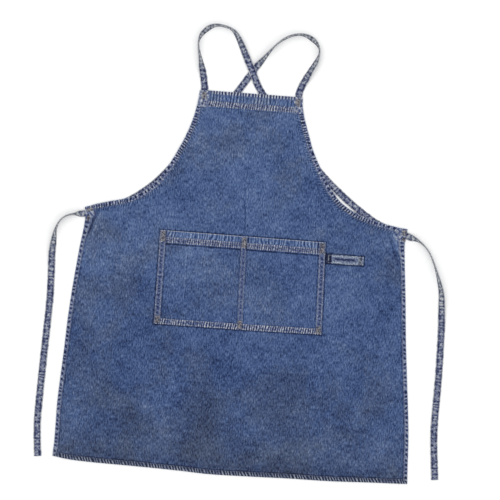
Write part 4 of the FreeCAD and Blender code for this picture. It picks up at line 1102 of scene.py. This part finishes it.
def thread_piece(name, chunks, material, nodes, body="apron"):
    ob = joined(name, chunks)
    ob.data.materials.append(material)
    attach(ob, body)
    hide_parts(*nodes)
    return ob


def trimmed(line, a, b):
    """The part of a line between distances a and b along it; b counts from the end if it is negative."""
    pts, s = resample(line, 1.5)
    b = s[-1] + b if b <= 0 else b
    return pts[(s >= a) & (s <= b)]


for side in ("left", "right"):
    thread_piece(side + "_armhole_thread", sewn_row(panel_at, trimmed(side_offset(LINES[side + "_arm"], 9.2), 14, -14), seed=3),
                 BLUE, [side + "_armhole_stitching"])
    sewn = side_offset(LINES[side + "_side"], 7.4 * side_widening(LINES[side + "_side"][:, 1])[:, None])
    sewn = trimmed(sewn, 8, -20) if side == "left" else trimmed(sewn, 20, -8)
    thread_piece(side + "_side_thread", sewn_row(panel_at, sewn, seed=5), BLUE, [side + "_side_stitching"])
thread_piece("foot_thread", sewn_row(panel_at, trimmed(side_offset(LINES["foot"], 8.2), 4, -4), seed=7), BLUE,
             ["bottom_hem_stitching"])
thread_piece("bib_top_thread", sewn_row(panel_at, trimmed(side_offset(LINES["top"], 2.6), 16, -14), seed=8), BLUE,
             ["bib_top_stitching"])
bib_rows, side_rows, low_rows, mouth_rows, mid_rows = [], [], [], [], []
for k, d in enumerate((22.2, 26.1, 30.0)):
    bib_rows += sewn_row(panel_at, trimmed(side_offset(LINES["top"], d), 6 + d * 0.05, -6), pitch=2.8, length=2.1, seed=9 + k)
for k, d in enumerate((1.8, 11.4)):
    side_rows += sewn_row(pocket_at, trimmed(side_offset(POCKET_LINES["left"], d), 2, -2), seed=20 + k)
    side_rows += sewn_row(pocket_at, trimmed(side_offset(POCKET_LINES["right"], d), 2, -2), seed=24 + k)
for k, d in enumerate((2.0, 10.6)):
    low_rows += sewn_row(pocket_at, trimmed(side_offset(POCKET_LINES["bottom"], d), 3, -3), seed=28 + k)
for k, d in enumerate((14.2, 18.4, 22.6)):
    mouth_rows.append(row_on(pocket_at, trimmed(side_offset(POCKET_LINES["mouth"], d), 12, -12), pitch=2.8, length=2.1, seed=32 + k))
for k, d in enumerate((-3.8, 3.8)):
    mid_rows += sewn_row(pocket_at, np.array([MID_FOOT + (d, 3), MID_TOP + (d, -3)]), seed=40 + k, radius=0.36)
thread_piece("bib_hem_thread", bib_rows, TAN, ["bib_hem_stitching"])
thread_piece("pocket_side_thread", side_rows, TAN, ["pocket_side_stitching"])
thread_piece("pocket_bottom_thread", low_rows, TAN, ["pocket_bottom_stitching"])
thread_piece("pocket_mouth_thread", mouth_rows, TAN, ["pocket_mouth_stitching"])
thread_piece("pocket_divider_thread", mid_rows, TAN, ["pocket_divider_stitching"])

thread_piece("bib_strap_tacks", tack_on(panel_at, -107.0, 372.0, 15, 12, 90, 50) + tack_on(panel_at, 81.4, 371.6, 15, 12, 90, 51),
             TACK, ["strap_bartacks"])
thread_piece("pocket_top_tacks", tack_on(pocket_at, -167.6, 85.0, 21, 11, 90, 52) + tack_on(pocket_at, -5.2, 84.0, 21, 12, 90, 53)
             + tack_on(pocket_at, 151.1, 84.0, 21, 11, 90, 54), TACK, ["pocket_top_bartacks"])
thread_piece("pocket_low_tacks", tack_on(pocket_at, -167.2, -81.6, 15, 11, 90, 55) + tack_on(pocket_at, -2.0, -80.0, 17, 11, 90, 56)
             + tack_on(pocket_at, 155.8, -79.2, 15, 11, 90, 57), TACK, ["pocket_bottom_bartacks"])
thread_piece("corner_tacks", tack_on(panel_at, -318.0, 127.4, 13, 8, 18, 58) + tack_on(panel_at, -320.0, 110.0, 12, 6, 86, 59)
             + tack_on(panel_at, 312.6, 128.0, 12, 11, 84, 60) + tack_on(panel_at, 312.4, 114.4, 9, 9, 86, 61),
             TACK, ["side_corner_bartacks"])

# ------------------------------------------------------------------ floor
floor = new_object("floor", [(-4, -4, -0.0002), (4, -4, -0.0002), (4, 4, -0.0002), (-4, 4, -0.0002)], [(0, 1, 2, 3)], False)
fl = Nodes("pale_floor")
fx, fy, fz = fl.split(fl.obj())
fl.finish(fl.mix(fl.noise(fl.vec(fx, fy), 3.0, 2.0), (0.965, 0.965, 0.965), (0.975, 0.975, 0.975)), fl.noise(fl.vec(fx, fy), 60.0), 0.02, 0.0005, 0.85)
fl.bsdf.inputs["Emission Color"].default_value = (1.0, 1.0, 1.0, 1.0)
fl.bsdf.inputs["Emission Strength"].default_value = 0.075
floor.data.materials.append(fl.mat)

# ------------------------------------------------------------------ straps and ties
def strap_material(name, lift=0.0, half=0.0075, seed=0.0):
    n = Nodes(name)
    s, a, _ = n.split(n.uv("seam"))
    twill, slub, weft, grain = weave(n, a, s)
    across = n.math("ABSOLUTE", a)
    # dark and pale blocks where the folded layers rub against each other
    blot = n.noise(n.vec(n.mul(s, 185.0), n.mul(a, 90.0), seed + 1.0), 1.0, 1.0, 0.5)
    wide = n.noise(n.vec(n.mul(s, 26.0), n.mul(a, 30.0), seed + 5.0), 1.0, 2.0, 0.5)
    p = n.add(n.mul(n.sub(n.step(0.38, 0.60, blot), 0.5), 0.40), n.mul(n.sub(wide, 0.5), 0.45))
    # dark bars where the seam's puckers cross the strap, either side of a paler middle
    bars = n.mul(n.step(-0.10, 0.60, ticks(n, s, a, 0.0066, 0.15, seed + 9.0, 2.0)), n.bump_at(across, 0.0034, 0.0030))
    p = n.sub(p, n.mul(bars, 0.36))
    p = n.add(p, n.add(n.mul(n.sub(grain, 0.5), 0.95), n.mul(n.sub(slub, 0.5), 0.35)))
    rub = n.mul(n.step(half - 0.0023, half - 0.0008, across),
                n.add(0.55, n.mul(0.45, n.step(0.36, 0.58, n.noise(n.vec(n.mul(s, 190.0), n.mul(n.math("SIGN", a), 3.0), seed + 8.0), 1.0, 1.0)))))
    p = n.add(p, n.mul(rub, 0.44))
    dash = n.step(0.42, 0.58, n.noise(n.vec(n.mul(s, 230.0), n.mul(n.math("SIGN", a), 5.0), seed + 2.0), 1.0, 1.0))
    p = n.sub(p, n.mul(n.mul(n.bump_at(across, half - 0.0028, 0.0013), dash), 0.50))
    # where the strap stands on edge it is painted lighter, most at its edges, as painted light on faces the top lamp
    # hardly reaches, and it is mixed greyer there
    turned = n.attr("turned")
    p = n.add(p, n.mul(turned, n.add(0.20, n.mul(n.step(half - 0.0022, half - 0.0006, across), 0.20))))
    p = n.add(p, 0.56 + lift)
    height = n.add(n.mul(twill, 0.35), n.add(n.mul(slub, 0.5), n.mul(grain, 0.5)))
    return n.finish(n.mix(n.mul(turned, 0.65), n.ramp(p, STRAP), n.ramp(p, RUBBED)), height, 0.5, 0.0003)


def loop_material(name):
    """Pale band, softly creased down its middle, with a dark root and a dark row of tacks at its far end."""
    n = Nodes(name)
    s, a, _ = n.split(n.uv("seam"))
    twill, slub, weft, grain = weave(n, a, s)
    across = n.math("ABSOLUTE", a)
    p = n.add(0.57, n.add(n.mul(n.sub(grain, 0.5), 0.80), n.mul(n.sub(slub, 0.5), 0.40)))
    p = n.add(p, n.mul(speckle(n, s, a, 33.0), 0.24))
    p = n.add(p, n.mul(n.bump_at(across, 0.0068, 0.0030), 0.20))
    wander = n.mul(n.sub(n.noise(n.vec(n.mul(s, 90.0), 3.0), 1.0, 1.0), 0.5), 0.006)
    # one soft crease along the band, deeper in places, and fine puckers across it beside the two rows
    crease = n.mul(n.bump_at(n.add(a, wander), 0.0003, 0.0040), n.add(0.35, n.mul(patchy(n, s, 0.026, 31.0), 0.75)))
    pucker = n.mul(ticks(n, s, a, 0.0041, 0.25, 34.0, 1.2), n.bump_at(across, 0.0062, 0.0030))
    inner = n.mul(n.step(0.173, 0.181, s), n.sub(1.0, n.step(0.214, 0.223, s)))
    p = n.sub(p, n.mul(n.mul(crease, inner), 0.42))
    p = n.add(p, n.mul(n.mul(pucker, inner), 0.10))
    p = n.sub(p, n.mul(n.sub(1.0, n.step(0.1700, 0.1730, s)), 0.62))
    end = n.mul(n.bump_at(s, 0.2290, 0.0034), n.step(-0.5, 0.2, ticks(n, a, s, 0.0060, 0.0, 32.0, 0.9)))
    p = n.sub(p, n.mul(end, 0.56))
    # painted shade along the band's long edges
    p = n.sub(p, n.mul(n.step(0.0084, 0.0092, across), 0.40))
    height = n.add(n.mul(twill, 0.35), n.add(n.mul(slub, 0.5), n.mul(grain, 0.5)))
    return n.finish(n.ramp(p, LOOP), height, 0.5, 0.0003)


STRAP_MAT = strap_material("worn_strap_denim")
TIE_MAT = strap_material("worn_tie_denim", 0.03, seed=20.0)


def ribbon(name, key, material, seed):
    line, tilt, lift = ROUTES[key]
    L = np.concatenate([[0], np.cumsum(np.linalg.norm(np.diff(line, axis=0), axis=1))])
    step = 1.7
    s = np.linspace(0, L[-1], int(L[-1] / step))
    P = np.stack([np.interp(s, L, line[:, i]) for i in range(3)], 1)
    phi = np.radians(np.interp(s, L, tilt))
    up_by = np.interp(s, L, lift)
    t = np.gradient(P[:, :2], axis=0)
    t /= np.linalg.norm(t, axis=1)[:, None]
    right = np.column_stack([t[:, 1], -t[:, 0], np.zeros(len(s))])
    Z = np.array([0.0, 0.0, 1.0])
    W = right * np.cos(phi)[:, None] - Z * np.sin(phi)[:, None]
    N = right * np.sin(phi)[:, None] + Z * np.cos(phi)[:, None]
    C = P.copy()
    C[:, 2] = up_by + HW * np.abs(np.sin(phi)) + HT * np.cos(phi) + 0.05
    # section: (across -1..1, face) with turned, rounded edges
    edge_w = 1.0 + 0.016 * Wobble(seed, 9, 30)(s)
    a_top = np.array([-0.955, -0.86, -0.78, -0.70, -0.58, -0.36, -0.12, 0.12, 0.36, 0.58, 0.70, 0.78, 0.86, 0.955])
    ring = [(a, 1) for a in a_top] + [(1.0, 0)] + [(a, -1) for a in a_top[::-1]] + [(-1.0, 0)]
    verts, uvs = [], []
    w1, w2 = Wobble(seed + 1, 5.5, 9.0)(s), Wobble(seed + 2, 5.5, 9.0)(s)
    for i in range(len(s)):
        for a, face in ring:
            b = HT * 0.94 * face * (1 - 0.34 * abs(a) ** 8)
            if face:
                groove = -0.20 * math.exp(-((abs(a) - 0.75) * HW / 0.75) ** 2)
                puff = 0.11 * (w1 if a > 0 else w2)[i] * (1 if abs(a) > 0.7 else 0.55)
                b += face * (groove + puff * (1 if abs(a) < 0.99 else 0))
            verts.append(C[i] + W[i] * (a * HW * edge_w[i]) + N[i] * b)
            uvs.append((s[i] / 1000.0, a * HW / 1000.0))
    m = len(ring)
    faces = []
    for i in range(len(s) - 1):
        for k in range(m):
            faces.append((i * m + k, (i + 1) * m + k, (i + 1) * m + (k + 1) % m, i * m + (k + 1) % m))
    faces.append(tuple(range(m)))
    faces.append(tuple((len(s) - 1) * m + k for k in range(m))[::-1])
    base = len(verts)
    # edge stitching on both faces
    chunks = []
    r = np.random.default_rng(seed)
    ss = np.arange(3.0, s[-1] - 3.0, 3.2)
    Pi = np.stack([np.interp(ss, s, C[:, k]) for k in range(3)], 1)
    Ti = np.stack([np.interp(ss, s, np.gradient(C[:, k])) for k in range(3)], 1)
    Wi = np.stack([np.interp(ss, s, W[:, k]) for k in range(3)], 1)
    Ni = np.stack([np.interp(ss, s, N[:, k]) for k in range(3)], 1)
    for sign in (-1, 1):
        for face in (-1, 1):
            a = sign * (0.75 * HW + r.normal(0, 0.06, len(ss)))
            c = Pi + Wi * a[:, None] + Ni * (face * (HT * 0.94 - 0.02))
            chunks.append(lay_stitches(c, Ti, Ni * face, 2.6, 0.30))
    all_v, all_f = [np.array(verts)], list(faces)
    for v, f in chunks:
        all_f += [tuple(i + base for i in face) for face in f]
        base += len(v)
        all_v.append(v)
    all_v = np.concatenate(all_v)
    all_v[:, 2] = np.maximum(all_v[:, 2], 0.02)
    ob = new_object(name, all_v / 1000.0, all_f)
    ob.data.materials.append(material)
    ob.data.materials.append(BLUE)
    index = np.zeros(len(all_f), int)
    index[len(faces):] = 1
    ob.data.polygons.foreach_set("material_index", index.tolist())
    # how far the strap stands on edge; its material paints light there
    turned = ob.data.attributes.new("turned", "FLOAT", "POINT")
    turned.data.foreach_set("value", np.concatenate([np.repeat(np.abs(np.sin(phi)), m), np.zeros(len(all_v) - len(s) * m)]).tolist())
    uv = ob.data.uv_layers.new(name="seam")
    flat = []
    # the last column of a ring wraps, but its place across is the same on both sides of the edge
    for f in all_f:
        for i in f:
            if i < len(uvs):
                flat += list(uvs[i])
            else:
                flat += [0.0, 0.0]
    uv.data.foreach_set("uv", flat)
    return ob, P / 1000.0


for side, seed in (("left", 100), ("right", 120)):
    ob, path = ribbon(side + "_shoulder_strap", side + "_strap", STRAP_MAT, seed)
    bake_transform(ob)
    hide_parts(side + "_strap_front_end", side + "_strap_loop", side + "_strap_back_run")
    length = float(np.linalg.norm(np.diff(path, axis=0), axis=1).sum())

for side, seed, a, b in (("left", 140, LEFT_TIE[4], LEFT_TIE[5]), ("right", 160, RIGHT_TIE[4], RIGHT_TIE[5])):
    ob, path = ribbon(side + "_waist_tie", side + "_tie", TIE_MAT, seed)
    d = np.array([b[0] - a[0], b[1] - a[1], 0.0])
    d /= np.linalg.norm(d)
    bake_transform(ob)
    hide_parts(side + "_tie_root", side + "_tie_free")

# ------------------------------------------------------------------ tool loop
LOOP_X0, LOOP_X1, LOOP_Y, LOOP_W = 160.6, 235.6, 64.6, 18.6


def tool_loop():
    nx, ny = 66, 17
    verts, uvs = [], []
    us = np.linspace(0, 1, nx)
    vs = np.linspace(-1, 1, ny)
    wob = Wobble(200, 7, 16)
    X, Y = np.meshgrid(LOOP_X0 + (LOOP_X1 - LOOP_X0) * us, LOOP_Y + vs * LOOP_W / 2, indexing="ij")
    under = np.maximum(panel_at(X, Y)[0], np.where(X < 163.0, pocket_at(np.minimum(X, 161.8), Y)[0], 0))
    arch = smoothstep(162, 186, X) * smoothstep(229, 204, X)
    zc = under + 1.25 + 3.0 * arch
    zc = np.where(arch > 0.02, np.maximum(zc, zc), zc)
    for j in range(ny):
        zc[:, j] += 0.10 * wob(X[:, j] + 0.7 * Y[:, j])
    for face in (1, -1):
        for i in range(nx):
            for j in range(ny):
                v = vs[j]
                b = 0.8 * face * (1 - 0.45 * abs(v) ** 8)
                groove = -0.2 * math.exp(-((abs(v) * LOOP_W / 2 - 7.2) / 0.8) ** 2)
                z = zc[i, j] + b + (groove if face > 0 else 0)
                verts.append((X[i, j], Y[i, j] + 0.25 * wob(X[i, j] * 1.3 + 20) * (1 if v > 0 else -1) * abs(v), z))
                uvs.append((X[i, j] / 1000.0, v * LOOP_W / 2000.0))
    n = nx * ny
    faces = []
    for i in range(nx - 1):
        for j in range(ny - 1):
            a, b, c, d = i * ny + j, (i + 1) * ny + j, (i + 1) * ny + j + 1, i * ny + j + 1
            faces.append((a, b, c, d))
            faces.append((a + n, d + n, c + n, b + n))
    for i in range(nx - 1):
        faces.append((i * ny + n, (i + 1) * ny + n, (i + 1) * ny, i * ny))
        faces.append((i * ny + ny - 1, (i + 1) * ny + ny - 1, (i + 1) * ny + ny - 1 + n, i * ny + ny - 1 + n))
    for j in range(ny - 1):
        faces.append((j, j + 1, j + 1 + n, j + n))
        k = (nx - 1) * ny
        faces.append((k + j + 1, k + j, k + j + n, k + j + 1 + n))
    ob = new_object("tool_loop_band", np.array(verts) / 1000.0, faces)
    uv = ob.data.uv_layers.new(name="seam")
    uv.data.foreach_set("uv", [c for f in faces for i in f for c in uvs[i]])
    top_z = lambda x, y: (np.maximum(panel_at(x, y)[0], 0) + 1.25 + 3.0 * smoothstep(162, 186, x) * smoothstep(229, 204, x) + 0.75, None)
    return ob, top_z


loop, loop_top = tool_loop()
loop.data.materials.append(loop_material("faded_loop_denim"))
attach(loop, "apron")
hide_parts("tool_loop")
LOOP_THREAD = thread_material("pale_loop_thread", srgb(148, 158, 174), srgb(40, 46, 76), 240.0)
rows = [row_on(loop_top, np.array([(166.0, LOOP_Y + dy), (231.4, LOOP_Y + dy)]), seed=70 + k) for k, dy in enumerate((-7.2, 7.2))]
thread_piece("tool_loop_tacks", tack_on(loop_top, 230.6, LOOP_Y, 18, 4.4, 90, 63, radius=0.36)
             + tack_on(loop_top, 226.8, LOOP_Y, 17, 2.4, 90, 64, radius=0.3)
             + tack_on(loop_top, 165.4, LOOP_Y, 18, 3.0, 90, 65, radius=0.36) + rows, LOOP_THREAD, ["tool_loop_bartacks"])
